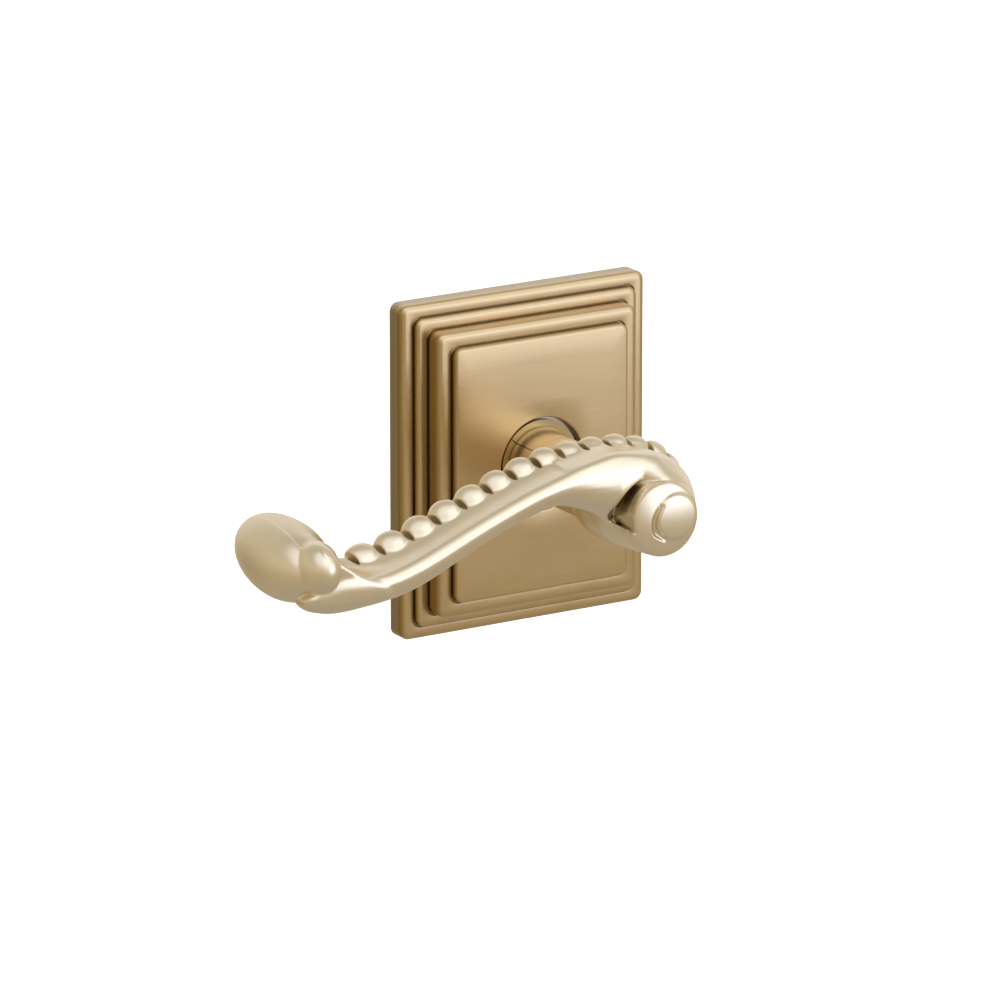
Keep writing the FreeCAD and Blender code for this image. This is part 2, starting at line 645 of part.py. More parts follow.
def web_under_arm():
    """The arm's lower front edge, sweeping down beside the head scroll."""
    sweep = Part.BSplineCurve()
    sweep.interpolate([at(x, WEB_BACK, z) for x, z in WEB_SWEEP])
    first = at(WEB_SWEEP[0][0], WEB_BACK, WEB_SWEEP[0][1])
    last = at(WEB_SWEEP[-1][0], WEB_BACK, WEB_SWEEP[-1][1])
    inner = at(0, WEB_BACK, WEB_SWEEP[0][1])
    outline = Part.Wire([sweep.toShape(), Part.makeLine(last, inner), Part.makeLine(inner, first)])
    return Part.Face(outline).extrude(V(0, WEB_BACK - WEB_FRONT, 0))


def head_scroll():
    """Shank, flared collar and drum, turned about the spindle axis."""
    flare_mid = at(*COLLAR_MID, 0)
    seat = NECK_FRONT + SEAT_GAP
    edges = [
        Part.makeLine(at(0, NECK_BACK, 0), at(SHANK_R, NECK_BACK, 0)),
        Part.makeLine(at(SHANK_R, NECK_BACK, 0), at(SHANK_R, seat, 0)),
        Part.makeLine(at(SHANK_R, seat, 0), at(NECK_TOP_R, seat, 0)),
        Part.Arc(at(NECK_TOP_R, seat, 0), flare_mid, at(DRUM_R, DRUM_BACK, 0)).toShape(),
        Part.makeLine(at(DRUM_R, DRUM_BACK, 0), at(DRUM_R, DRUM_FRONT, 0)),
        Part.makeLine(at(DRUM_R, DRUM_FRONT, 0), at(0, DRUM_FRONT, 0)),
        Part.makeLine(at(0, DRUM_FRONT, 0), at(0, NECK_BACK, 0))]
    return Part.Face(Part.Wire(edges)).revolve(V(0, 0, 0), INTO_DOOR, 360)


def domed_disc(centre, radius, front, rim, dome):
    """A disc standing on the drum, with a rounded rim and a domed face."""
    x, z = centre
    ball_r = (radius ** 2 + dome ** 2) / (2 * dome)
    ball = Part.makeSphere(ball_r, at(x, front + dome - ball_r, z), OUTWARD)
    solid = rod(radius, DRUM_BACK, front + dome, x, z).common(ball)
    edge = [e for e in solid.Edges if abs(e.BoundBox.YMin + front) < 1e-2 and e.BoundBox.YLength < 1e-2]
    return solid.makeFillet(rim, edge)


def lever():
    """The scroll lever, cast in one piece."""
    solid = head_scroll().fuse(domed_disc(DISC_AT, DISC_R, DISC_FRONT, DISC_RIM, DISC_DOME))
    solid = solid.fuse(domed_disc(EYE_AT, EYE_R, EYE_FRONT, EYE_RIM, EYE_DOME))
    solid = solid.fuse(lever_arm()).fuse(web_under_arm())
    for centre, radius in bead_spots():
        solid = solid.fuse(Part.makeSphere(radius, centre))
    solid = solid.fuse(egg(ROLL_CENTRE, ROLL_HALF_LENGTH, ROLL_R, ROLL_TILT_DEG))
    solid = solid.fuse(egg(TIP_EYE_CENTRE, TIP_EYE_HALF_LENGTH, TIP_EYE_R, ROLL_TILT_DEG / 2))
    solid = solid.cut(square_bar(SPINDLE_SIDE / 2 + SEAT_GAP, NECK_BACK, SOCKET_FLOOR))
    return solid.cut(set_screw_hole(SET_SCREW_R + SEAT_GAP))


# ---- the assembly -------------------------------------------------------------------------
MAKERS = (
    rosette, rosette_screws, mounting_plate, door_gasket, bore_locating_ring, threaded_posts,
    cassette_housing, cassette_cover, cassette_screws, stop_pins, rear_bushing, front_bushing,
    hub, spindle, spindle_pin, thrust_washer, spring_washer, retaining_ring, return_spring,
    neck_sleeve, lever_set_screw, lever)

os.makedirs("parts", exist_ok=True)
for make in MAKERS:
    shape = make()
    print(make.__name__, shape.isValid(), len(shape.Solids), round(shape.Volume, 1))
    shape.exportStep(os.path.join("parts", make.__name__ + ".step"))
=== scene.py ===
import json
import math

import bpy
import numpy as np
from mathutils import Matrix, Vector


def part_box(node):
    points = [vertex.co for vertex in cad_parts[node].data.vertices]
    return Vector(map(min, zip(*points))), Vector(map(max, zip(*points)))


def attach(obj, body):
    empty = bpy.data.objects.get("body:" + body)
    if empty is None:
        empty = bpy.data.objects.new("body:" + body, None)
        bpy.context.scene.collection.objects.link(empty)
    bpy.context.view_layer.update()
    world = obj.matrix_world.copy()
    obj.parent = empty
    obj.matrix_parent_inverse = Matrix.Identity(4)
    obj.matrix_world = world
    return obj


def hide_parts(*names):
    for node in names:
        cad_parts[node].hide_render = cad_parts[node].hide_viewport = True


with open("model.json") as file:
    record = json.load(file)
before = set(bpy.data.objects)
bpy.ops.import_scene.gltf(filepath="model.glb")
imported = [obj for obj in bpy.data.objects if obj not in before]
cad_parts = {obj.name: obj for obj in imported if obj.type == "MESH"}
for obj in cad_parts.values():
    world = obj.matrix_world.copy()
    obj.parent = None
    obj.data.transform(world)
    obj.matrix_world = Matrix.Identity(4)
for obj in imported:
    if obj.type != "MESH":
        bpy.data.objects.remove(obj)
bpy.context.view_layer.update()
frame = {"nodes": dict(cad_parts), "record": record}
MM = 0.001


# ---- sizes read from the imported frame, in millimetres ------------------------------------------
def box_mm(node):
    """Low x, z, out and high x, z, out of a CAD node. Out is the distance from the door face."""
    low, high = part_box(node)
    return (low.x / MM, low.z / MM, -high.y / MM), (high.x / MM, high.z / MM, -low.y / MM)


_, ROSETTE_HIGH = box_mm("rosette")
SLEEVE_LOW, SLEEVE_HIGH = box_mm("neck_sleeve")
_, SPINDLE_HIGH = box_mm("spindle")


# ---- mesh building -----------------------------------------------------------------------------
def mesh_piece(name, points_mm, faces, material, body, node):
    """A smooth-shaded piece from points given as x, out, z in millimetres, in place of a CAD node."""
    points = np.asarray(points_mm, float)
    row = np.column_stack((points[:, 0], -points[:, 1], points[:, 2])) * MM
    mesh = bpy.data.meshes.new(name)
    mesh.from_pydata(row.tolist(), [], [list(map(int, f)) for f in faces])
    mesh.validate()
    mesh.update()
    piece = bpy.data.objects.new(name, mesh)
    bpy.context.scene.collection.objects.link(piece)
    mesh.materials.append(material)
    mesh.polygons.foreach_set("use_smooth", [True] * len(mesh.polygons))
    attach(piece, body)
    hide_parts(node)


def ring_faces(rings, point_count):
    """Quads between each ring of points and the next; point numbers start again at point_count."""
    around = len(rings[0])
    faces = []
    for k in range(len(rings) - 1):
        for i in range(around):
            n = (i + 1) % around
            corners = (k * around + i, k * around + n, (k + 1) * around + n, (k + 1) * around + i)
            faces.append(tuple(corner % point_count for corner in corners))
    return faces


def spline(knots, values, wanted):
    """Natural cubic spline through values at knots."""
    knots = np.asarray(knots, float)
    values = np.asarray(values, float)
    gaps = np.diff(knots)
    count = len(knots)
    system = np.zeros((count, count))
    right = np.zeros((count,) + values.shape[1:])
    system[0, 0] = system[-1, -1] = 1.0
    slopes = np.diff(values, axis=0) / gaps.reshape(-1, *([1] * (values.ndim - 1)))
    for k in range(1, count - 1):
        system[k, k - 1] = gaps[k - 1]
        system[k, k] = 2 * (gaps[k - 1] + gaps[k])
        system[k, k + 1] = gaps[k]
        right[k] = 6 * (slopes[k] - slopes[k - 1])
    bend = np.linalg.solve(system, right)
    spot = np.clip(np.searchsorted(knots, wanted, side="right") - 1, 0, count - 2)
    gap = gaps[spot]
    a = (knots[spot + 1] - wanted) / gap
    b = (wanted - knots[spot]) / gap
    if values.ndim > 1:
        a, b, gap = a[:, None], b[:, None], gap[:, None]
    return (a * values[spot] + b * values[spot + 1]
            + ((a ** 3 - a) * bend[spot] + (b ** 3 - b) * bend[spot + 1]) * gap ** 2 / 6)


# ---- signed distances: negative inside, millimetres ---------------------------------------------
FAR = 50.0
TINY = 1e-9


def smooth_union(a, b, soft):
    """Both solids, the corner between them filled over a width of soft."""
    h = np.clip(0.5 + 0.5 * (b - a) / soft, 0, 1)
    return b + (a - b) * h - soft * h * (1 - h)


def smooth_cut(a, tool, soft):
    """a with the tool taken away, its edges rounded."""
    return -smooth_union(-a, tool, soft)


def smooth_both(a, b, soft):
    """What lies in both solids, its edges rounded."""
    return -smooth_union(-a, -b, soft)


def ellipsoid(x, out, z, centre, semi):
    """Near distance to an ellipsoid with the half axes semi."""
    vx = (x - centre[0]) / semi[0]
    vo = (out - centre[1]) / semi[1]
    vz = (z - centre[2]) / semi[2]
    k0 = np.sqrt(vx ** 2 + vo ** 2 + vz ** 2)
    k1 = np.sqrt((vx / semi[0]) ** 2 + (vo / semi[1]) ** 2 + (vz / semi[2]) ** 2)
    return k0 * (k0 - 1) / np.maximum(k1, TINY)


def tipped(out, z, centre_out, centre_z, degrees):
    """Coordinates turned in the out-z plane about a point, the outward axis tipped downward."""
    c, s = math.cos(math.radians(degrees)), math.sin(math.radians(degrees))
    do, dz = out - centre_out, z - centre_z
    return centre_out + c * do - s * dz, centre_z + s * do + c * dz


def nearest_on_line(px, pz, line):
    """Index (as a float) of the nearest place on a polyline, and the signed offset across it."""
    batch = 20000
    index = np.zeros(len(px))
    offset = np.zeros(len(px))
    steps = np.diff(line, axis=0)
    lengths2 = (steps ** 2).sum(1)
    for start in range(0, len(px), batch):
        part = slice(start, start + batch)
        gap = (px[part, None] - line[None, :, 0]) ** 2 + (pz[part, None] - line[None, :, 1]) ** 2
        near = gap.argmin(1)
        best = np.full(len(near), np.inf)
        for segment in (np.clip(near - 1, 0, len(steps) - 1), np.clip(near, 0, len(steps) - 1)):
            ax, az = line[segment, 0], line[segment, 1]
            sx, sz = steps[segment, 0], steps[segment, 1]
            dx, dz = px[part] - ax, pz[part] - az
            t = np.clip((dx * sx + dz * sz) / lengths2[segment], 0, 1)
            rx, rz = dx - t * sx, dz - t * sz
            distance = rx ** 2 + rz ** 2
            side = np.sign(sx * rz - sz * rx)
            better = distance < best
            best = np.where(better, distance, best)
            index[part] = np.where(better, segment + t, index[part])
            offset[part] = np.where(better, side * np.sqrt(distance), offset[part])
    return index, offset


def polygon_distance(u, v, corners_u, corners_v):
    """Signed distance in 2-D to a closed outline whose corners differ from point to point."""
    count = corners_u.shape[0]
    best = np.full(u.shape, np.inf)
    inside = np.zeros(u.shape, bool)
    for k in range(count):
        j = (k + 1) % count
        au, av = corners_u[k], corners_v[k]
        eu, ev = corners_u[j] - au, corners_v[j] - av
        wu, wv = u - au, v - av
        t = np.clip((wu * eu + wv * ev) / np.maximum(eu ** 2 + ev ** 2, TINY), 0, 1)
        best = np.minimum(best, (wu - t * eu) ** 2 + (wv - t * ev) ** 2)
        crosses = (av > v) != (corners_v[j] > v)
        safe = np.where(np.abs(ev) < TINY, TINY, ev)
        inside ^= crosses & (u < eu * (v - av) / safe + au)
    return np.where(inside, -1, 1) * np.sqrt(best)


# ---- the lever's own shape ------------------------------------------------------------------------
# Centre x, centre z, half height, half depth and middle depth of the arm at each station, from the
# tip, up the S-curve, over the head and clockwise round it.
ARM_STATIONS = np.array((
    (-91.6, -8.4, 1.7, 3.6, 57.2),
    (-88.5, -8.6, 2.7, 4.8, 56.8),
    (-84.5, -8.4, 4.0, 5.8, 56.2),
    (-78.0, -7.6, 4.9, 6.6, 55.6),
    (-64.5, -5.2, 5.4, 6.7, 55.3),
    (-49.6, 0.4, 4.9, 6.7, 55.0),
    (-35.7, 5.8, 4.8, 6.7, 55.0),
    (-21.9, 9.2, 5.6, 6.8, 55.0),
    (-10.0, 8.6, 7.2, 7.2, 55.0),
    (-0.5, 8.2, 6.0, 7.4, 55.0),
    (5.9, 4.9, 5.2, 7.2, 54.8),
    (8.1, -1.2, 4.2, 6.6, 54.2),
    (4.6, -6.6, 3.0, 6.0, 53.6),
))
# Cross-sections: share of the half depth outward, share of the half height upward. They go from the
# back over the crest, down the hollow upper slope to the front ridge, and round below.
SLIM_KNOTS = np.array((
    (-1.0, 0.15), (-0.94, 0.80), (-0.74, 1.04), (-0.46, 0.88), (-0.10, 0.58), (0.24, 0.43), (0.54, 0.38),
    (0.76, 0.33), (0.92, 0.16), (0.98, -0.08), (0.90, -0.45), (0.64, -0.84), (0.15, -1.0), (-0.50, -0.94),
    (-0.92, -0.55),
))
FULL_KNOTS = np.array((
    (-1.0, 0.15), (-0.94, 0.80), (-0.74, 1.00), (-0.46, 0.95), (-0.10, 0.89), (0.24, 0.87), (0.54, 0.87),
    (0.74, 0.80), (0.87, 0.60), (0.95, 0.30), (1.0, -0.25), (0.82, -0.85), (0.10, -1.0), (-0.50, -0.94),
    (-0.92, -0.55),
))
TIP_KNOTS = np.array((
    (-1.0, 0.15), (-0.94, 0.80), (-0.74, 1.00), (-0.46, 0.95), (-0.10, 0.91), (0.24, 0.90), (0.60, 0.92),
    (0.88, 0.86), (0.98, 0.62), (0.97, 0.20), (0.88, -0.30), (0.66, -0.76), (0.20, -1.0), (-0.50, -0.94),
    (-0.92, -0.55),
))
SECTION_SPLITS = 3
SECTION_ROUND = 0.35
# Places along the arm from its tip: the tip's section turns into the slim one, and that into the full one
TIP_FROM, TIP_UNTIL = 6.0, 24.0
FULL_FROM, FULL_AT = 66.0, 88.0
LINE_COUNT = 700
ARM_END_SOFT = 2.5
ARM_END_NEAR = 12.0

BEAD_OUT = 51.4
BEAD_COUNT = 17
# The first bead, next to the tip, is smaller and closer; the others shrink towards the head
FIRST_BEAD_X = -78.2
FIRST_BEAD_R = 1.6
FIRST_BEAD_PITCH = 6.4
BEAD_R, BEAD_R_LOSS = 2.62, 0.045
BEAD_PITCH, BEAD_PITCH_LOSS = 8.1, 0.19
# Height of the row as a share of the arm's half height, at some places along x
BEAD_SEAT_X = (-60, -10, 2, 8)
BEAD_SEAT = (0.80, 0.80, 0.92, 1.25)
# Each bead: half lengths along, outward and up as shares of its radius, and how it slants as it goes outward
BEAD_LEAN = math.radians(15)
BEAD_SHAPE = (1.55, 1.15, 0.88)
BEAD_SLANT = 0.20
BEAD_DROP = 0.45
BEAD_NEAR = 7.0
NOTCH_SEMI = (0.8, 2.6, 1.9)
NOTCH_AT = (0.5, 0.0, 0.9)
NOTCH_SLANT = 0.3
NOTCH_NEAR = 5.0


def closed_curve(knots, splits):
    """Points on a smooth closed curve through the knots."""
    before, after = np.roll(knots, 1, axis=0), np.roll(knots, -1, axis=0)
    beyond = np.roll(knots, -2, axis=0)
    pull = after - before
    bend = 2 * before - 5 * knots + 4 * after - beyond
    twist = 3 * knots - before - 3 * after + beyond
    rows = []
    for t in np.arange(splits) / splits:
        rows.append(0.5 * (2 * knots + pull * t + bend * t ** 2 + twist * t ** 3))
    return np.stack(rows, axis=1).reshape(-1, 2)


SLIM_SECTION = closed_curve(SLIM_KNOTS, SECTION_SPLITS)
FULL_SECTION = closed_curve(FULL_KNOTS, SECTION_SPLITS)
TIP_SECTION = closed_curve(TIP_KNOTS, SECTION_SPLITS)


def walked_along(line):
    """How far along a polyline each of its points lies."""
    return np.concatenate(([0], np.cumsum(np.hypot(*np.diff(line, axis=0).T))))


def smooth_line(knots, count):
    """A smooth line through the knots as closely spaced points."""
    chords = walked_along(knots)
    return spline(chords, knots, np.linspace(0, chords[-1], count))


def arm_line():
    """The arm's centre line as closely spaced points, with its sizes at each."""
    chords = walked_along(ARM_STATIONS[:, :2])
    along = np.linspace(0, chords[-1], LINE_COUNT)
    return along, spline(chords, ARM_STATIONS, along)


ALONG, ARM = arm_line()
ARM_STEP = ALONG[1] - ALONG[0]


def eased(share):
    """A share from 0 to 1 that starts and ends gently."""
    share = np.clip(share, 0, 1)
    return share * share * (3 - 2 * share)


def arm_distance(x, out, z):
    """The bare arm: its sections swept along the line and closed at both ends."""
    index, above = nearest_on_line(x, z, ARM[:, :2])
    low = np.clip(index.astype(int), 0, LINE_COUNT - 2)
    share = (index - low)[:, None]
    half_height, half_depth, middle = (ARM[low, 2:] * (1 - share) + ARM[low + 1, 2:] * share).T
    walked = index * ARM_STEP
    full = eased((walked - FULL_FROM) / (FULL_AT - FULL_FROM))
    tip = eased((TIP_UNTIL - walked) / (TIP_UNTIL - TIP_FROM))
    shape = (SLIM_SECTION[:, :, None] * (1 - full - tip) + FULL_SECTION[:, :, None] * full
             + TIP_SECTION[:, :, None] * tip)
    corners_u = shape[:, 0] * (half_depth - SECTION_ROUND)
    corners_v = shape[:, 1] * (half_height - SECTION_ROUND)
    flat = polygon_distance(out - middle, above, corners_u, corners_v) - SECTION_ROUND
    # past either end of the line the sweep closes with a rounded cut
    ends = np.maximum(end_gap(x, z, 0, -1), end_gap(x, z, LINE_COUNT - 1, 1))
    return smooth_both(flat, ends, ARM_END_SOFT)


def end_gap(x, z, index, direction):
    """How far past one end of the arm's line a point near it lies."""
    other = index - direction
    hx, hz = ARM[index, 0] - ARM[other, 0], ARM[index, 1] - ARM[other, 1]
    size = math.hypot(hx, hz)
    reach = ((x - ARM[index, 0]) * hx + (z - ARM[index, 1]) * hz) / size
    near = np.hypot(x - ARM[index, 0], z - ARM[index, 1]) < ARM_END_NEAR
    return np.where(near, reach, -FAR)


def bead_places():
    """Walk the arm's upper back edge and drop a bead at each pitch."""
    heading = np.gradient(ARM[:, :2], axis=0)
    heading /= np.linalg.norm(heading, axis=1)[:, None]
    up = np.column_stack((-heading[:, 1], heading[:, 0]))
    seat = np.interp(ARM[:, 0], BEAD_SEAT_X, BEAD_SEAT)
    rail = ARM[:, :2] + up * (ARM[:, 2] * seat)[:, None]
    walked = walked_along(rail)
    # x only grows along the first part of the row
    growing = slice(0, LINE_COUNT // 2)
    reached = np.interp(FIRST_BEAD_X, rail[growing, 0], walked[growing])
    places = []
    for k in range(BEAD_COUNT):
        spot = [np.interp(reached, walked, rail[:, c]) for c in (0, 1)]
        turn = [np.interp(reached, walked, heading[:, c]) for c in (0, 1)]
        places.append((spot, turn, FIRST_BEAD_R if k == 0 else BEAD_R - BEAD_R_LOSS * k))
        reached += FIRST_BEAD_PITCH if k == 0 else BEAD_PITCH - BEAD_PITCH_LOSS * k
    return places


BEADS = bead_places()


def beads_distance(x, out, z):
    """The row of beads along the arm's crest."""
    best = np.full(x.shape, FAR)
    rise, level = math.sin(BEAD_LEAN), math.cos(BEAD_LEAN)
    for (bx, bz), (hx, hz), radius in BEADS:
        near = (np.abs(x - bx) < BEAD_NEAR) & (np.abs(z - bz) < BEAD_NEAR)
        if not near.any():
            continue
        dx, dz, do = x[near] - bx, z[near] - bz, out[near] - BEAD_OUT
        # each bead leans down the slope and rises towards the head, like a row of shingles
        along = dx * hx + dz * hz - BEAD_SLANT * do
        above = -dx * hz + dz * hx + BEAD_DROP * do
        semi = [radius * share for share in BEAD_SHAPE]
        bead = ellipsoid(along * level + above * rise, do, above * level - along * rise, (0, 0, 0), semi)
        best[near] = np.minimum(best[near], bead)
    return best


def notches_distance(x, out, z):
    """Small cuts in the crest between one bead and the next."""
    best = np.full(x.shape, FAR)
    for (first, (hx, hz), _), (second, _, _) in zip(BEADS[:-1], BEADS[1:]):
        middle = [(a + b) / 2 for a, b in zip(first, second)]
        near = (np.abs(x - middle[0]) < NOTCH_NEAR) & (np.abs(z - middle[1]) < NOTCH_NEAR)
        if not near.any():
            continue
        dx, dz, do = x[near] - middle[0], z[near] - middle[1], out[near] - BEAD_OUT
        along = dx * hx + dz * hz - NOTCH_SLANT * do
        above = -dx * hz + dz * hx + BEAD_DROP * do
        best[near] = np.minimum(best[near], ellipsoid(along, do, above, NOTCH_AT, NOTCH_SEMI))
    return best


# Radius of the flared collar and the drum at places outward; the drum's axis then leans to the disc's
HEAD_OUTS = (37, 38.5, 40.5, 42.8, 45, 47, 54, 60, 65)
HEAD_RADII = (8.1, 8.35, 9.0, 9.8, 10.3, 10.4, 10.1, 9.4, 8.9)
HEAD_BACK, HEAD_FRONT = 37.0, 64.0
LEAN_FROM, LEAN_OVER = 47.0, 14.0
DISC_R = 8.95
DISC_AT = (0.5, -0.7)
DISC_FRONT = 66.8
DISC_RIM = 0.9
DISC_DOME = 1.7
DISC_SOFT = 0.6
EYE_AT = (2.4, 0.1)
EYE_R = 5.4
EYE_FRONT = 68.7
EYE_RIM = 0.7
EYE_DOME = 0.5
DISC_BACK = 50.0


def domed_disc(x, out, z, centre, radius, front, rim, dome):
    """A disc with a rounded rim and a domed face."""
    from_centre = np.hypot(x - centre[0], z - centre[1])
    wall = from_centre - (radius - rim)
    face = out - (front - rim) - dome * (1 - (from_centre / radius) ** 2)
    outside = np.hypot(np.maximum(wall, 0), np.maximum(face, 0))
    return np.maximum(outside + np.minimum(np.maximum(wall, face), 0) - rim, DISC_BACK - out)


def head_distance(x, out, z):
    """The flared collar, the drum and the disc in front."""
    profile = np.interp(out, HEAD_OUTS, HEAD_RADII)
    shift = np.clip((out - LEAN_FROM) / LEAN_OVER, 0, 1)
    around = np.hypot(x - DISC_AT[0] * shift, z - DISC_AT[1] * shift)
    drum = np.maximum(around - profile, np.maximum(HEAD_BACK - out, out - HEAD_FRONT))
    disc = domed_disc(x, out, z, DISC_AT, DISC_R, DISC_FRONT, DISC_RIM, DISC_DOME)
    return smooth_union(drum, disc, DISC_SOFT)


def eye_distance(x, out, z):
    """The raised eye of the head scroll."""
    return domed_disc(x, out, z, EYE_AT, EYE_R, EYE_FRONT, EYE_RIM, EYE_DOME)


SWELL_AT = (0.0, 56.0, 0.0)
SWELL_SEMI = (13.0, 13.6, 13.0)
SWELL_BACK = 57.5
SWELL_LEAN = math.radians(25)
SWELL_EDGE = 2.0
SWELL_EDGE_SOFT = 4.0
SWELL_INSIDE_DISC = 0.5


def shoulder_distance(x, out, z):
    """The arm's front swelling up to the disc over its top and right side."""
    swell = ellipsoid(x, out, z, SWELL_AT, SWELL_SEMI)
    left = SWELL_EDGE - (x * math.cos(SWELL_LEAN) + z * math.sin(SWELL_LEAN))
    swell = smooth_both(swell, left, SWELL_EDGE_SOFT)
    from_disc = np.hypot(x - DISC_AT[0], z - DISC_AT[1])
    return np.maximum(np.maximum(swell, DISC_R - SWELL_INSIDE_DISC - from_disc), SWELL_BACK - out)


GROOVE_KNOTS = np.array(((-1.6, 3.2), (-3.1, 0.6), (-3.2, -2.2), (-0.6, -5.0)))
GROOVE_POINTS = 60
# Half width and floor of the groove at places along it, as point numbers
GROOVE_PLACES = (0, 20, 45, 59)
GROOVE_WIDTHS = (0.25, 0.5, 0.75, 0.35)
GROOVE_FLOORS = (67.9, 67.5, 66.9, 67.6)


def groove_distance(x, out, z):
    """The short spiral groove on the left of the eye, deepest at its lower end."""
    line = smooth_line(GROOVE_KNOTS, GROOVE_POINTS)
    index, _ = nearest_on_line(x, z, line)
    low = np.clip(index.astype(int), 0, GROOVE_POINTS - 2)
    share = (index - low)[:, None]
    foot = line[low] * (1 - share) + line[low + 1] * share
    width = np.interp(index, GROOVE_PLACES, GROOVE_WIDTHS)
    floor = np.interp(index, GROOVE_PLACES, GROOVE_FLOORS)
    flat = np.hypot(x - foot[:, 0], z - foot[:, 1])
    return np.hypot(flat, np.maximum(floor + width - out, 0)) - width


# Inner and outer radius of the gap at angles round the head, in degrees from +X; it closes where they cross
GORGE_ANGLES = (90, 98, 107, 125, 140, 157, 168, 178, 188, 200, 212, 224, 232)
GORGE_INNER = (9.8, 8.6, 8.4, 8.1, 8.0, 8.0, 8.0, 8.0, 7.9, 8.0, 8.6, 9.2, 9.8)
GORGE_OUTER = (7.2, 8.4, 8.7, 8.9, 9.2, 9.6, 10.0, 10.1, 9.3, 8.2, 7.6, 7.2, 6.8)
GORGE_FLOOR_ANGLES = (98, 112, 130, 190, 224)
GORGE_FLOORS = (66.0, 63.0, 60.0, 57.5, 60.0)


def gorge_distance(x, out, z):
    """The deep spiral gap between the arm's front face and the disc, open on the left."""
    around = np.hypot(x, z)
    angle = np.degrees(np.arctan2(z, x)) % 360
    inner = np.interp(angle, GORGE_ANGLES, GORGE_INNER)
    outer = np.interp(angle, GORGE_ANGLES, GORGE_OUTER)
    floor = np.interp(angle, GORGE_FLOOR_ANGLES, GORGE_FLOORS)
    return np.maximum(np.abs(around - (inner + outer) / 2) - (outer - inner) / 2, floor - out)


WEB_KNOTS = np.array(((-22.0, 3.6), (-17.0, 2.7), (-13.0, 0.6), (-9.2, -2.7), (-5.6, -6.0), (-1.5, -9.0)))
WEB_POINTS = 80
WEB_LEFT, WEB_RIGHT, WEB_TOP, WEB_BACK = -21.0, 1.0, 12.0, 50.0
# The web's front: its place at the lower edge, how far it rises above the edge and over what height
WEB_FRONT, WEB_RISE, WEB_RISE_OVER = 59.0, 4.2, 3.0
# it falls back to the left of one place, and above another
WEB_FALL_LEFT_OF, WEB_FALL = -9.0, 0.30
WEB_CURVE_ABOVE, WEB_CURVE = 4.0, 0.035
WEB_FRONT_STEEPNESS = 0.7
WEB_EDGE_SOFT = 1.6


def web_distance(x, out, z):
    """The arm's lower front part, sweeping down beside the head scroll."""
    _, above = nearest_on_line(x, z, smooth_line(WEB_KNOTS, WEB_POINTS))
    flat = np.maximum(-above, np.maximum(x - WEB_RIGHT, z - WEB_TOP))
    flat = np.maximum(flat, WEB_LEFT - x)
    front = WEB_FRONT + WEB_RISE * (1 - np.exp(-np.maximum(above, 0) / WEB_RISE_OVER))
    front -= WEB_FALL * np.maximum(WEB_FALL_LEFT_OF - x, 0)
    front -= WEB_CURVE * np.maximum(z - WEB_CURVE_ABOVE, 0) ** 2
    thick = np.maximum((out - front) * WEB_FRONT_STEEPNESS, WEB_BACK - out)
    return smooth_both(flat, thick, WEB_EDGE_SOFT)


ROLL = (-88.0, 45.0, -1.7)
ROLL_R = 9.3
ROLL_BACK, ROLL_FRONT = 16.6, 15.0
ROLL_TILT = 7
# The step: its angle round the roll, its height, and the degrees over which it rises and grows back
ROLL_STEP_AT, ROLL_STEP = 110, 0.6
ROLL_STEP_RISE, ROLL_STEP_RUN = 3, 150
ROLL_STEP_FROM, ROLL_STEP_OVER = 30, 14
TIP_EYE = (-86.9, 57.2, -1.4)
TIP_EYE_SEMI = (5.0, 6.6, 6.4)
TIP_EYE_SOFT = 0.12


def tip_distance(x, out, z):
    """The rolled-up end: one turn of a scroll with a step along its top, and a bulging front end."""
    o, h = tipped(out, z, ROLL[1], ROLL[2], ROLL_TILT)
    turn = np.degrees(np.arctan2(h - ROLL[2], x - ROLL[0])) % 360
    # the radius drops at the step and grows back round the far side
    past = (ROLL_STEP_AT - turn) % 360
    fading = eased((o - ROLL_STEP_FROM) / ROLL_STEP_OVER)
    drop = ROLL_STEP * fading * np.clip(1 - past / ROLL_STEP_RUN, 0, 1) * np.clip(past / ROLL_STEP_RISE, 0, 1)
    back = ellipsoid(x, o, h, ROLL, (ROLL_R, ROLL_BACK, ROLL_R))
    front = ellipsoid(x, o, h, ROLL, (ROLL_R, ROLL_FRONT, ROLL_R))
    roll = np.where(o < ROLL[1], back, front) + drop
    eye = ellipsoid(x, out, z, TIP_EYE, TIP_EYE_SEMI)
    return smooth_union(roll, eye, TIP_EYE_SOFT)


SOCKET_LOW = (-76.0, -4.6)
SOCKET_HIGH = (-84.5, 1.6)
SOCKET_FRONT, SOCKET_SLOPE, SOCKET_MID_Z = 61.8, 0.10, -4.0
SOCKET_LEFT, SOCKET_BOTTOM, SOCKET_BACK = -88.0, -9.0, 55.5
SOCKET_RIDGE_SOFT, SOCKET_EDGE_SOFT = 1.2, 1.0


def socket_distance(x, out, z):
    """The arm's flat front rising beside the rolled end."""
    run_x, run_z = SOCKET_HIGH[0] - SOCKET_LOW[0], SOCKET_HIGH[1] - SOCKET_LOW[1]
    length = math.hypot(run_x, run_z)
    over = ((x - SOCKET_LOW[0]) * run_z - (z - SOCKET_LOW[1]) * run_x) / length
    front = out - SOCKET_FRONT - SOCKET_SLOPE * (z - SOCKET_MID_Z)
    bounds = np.maximum(np.maximum(SOCKET_BOTTOM - z, SOCKET_LEFT - x), SOCKET_BACK - out)
    return smooth_both(smooth_both(over, front, SOCKET_RIDGE_SOFT), bounds, SOCKET_EDGE_SOFT)


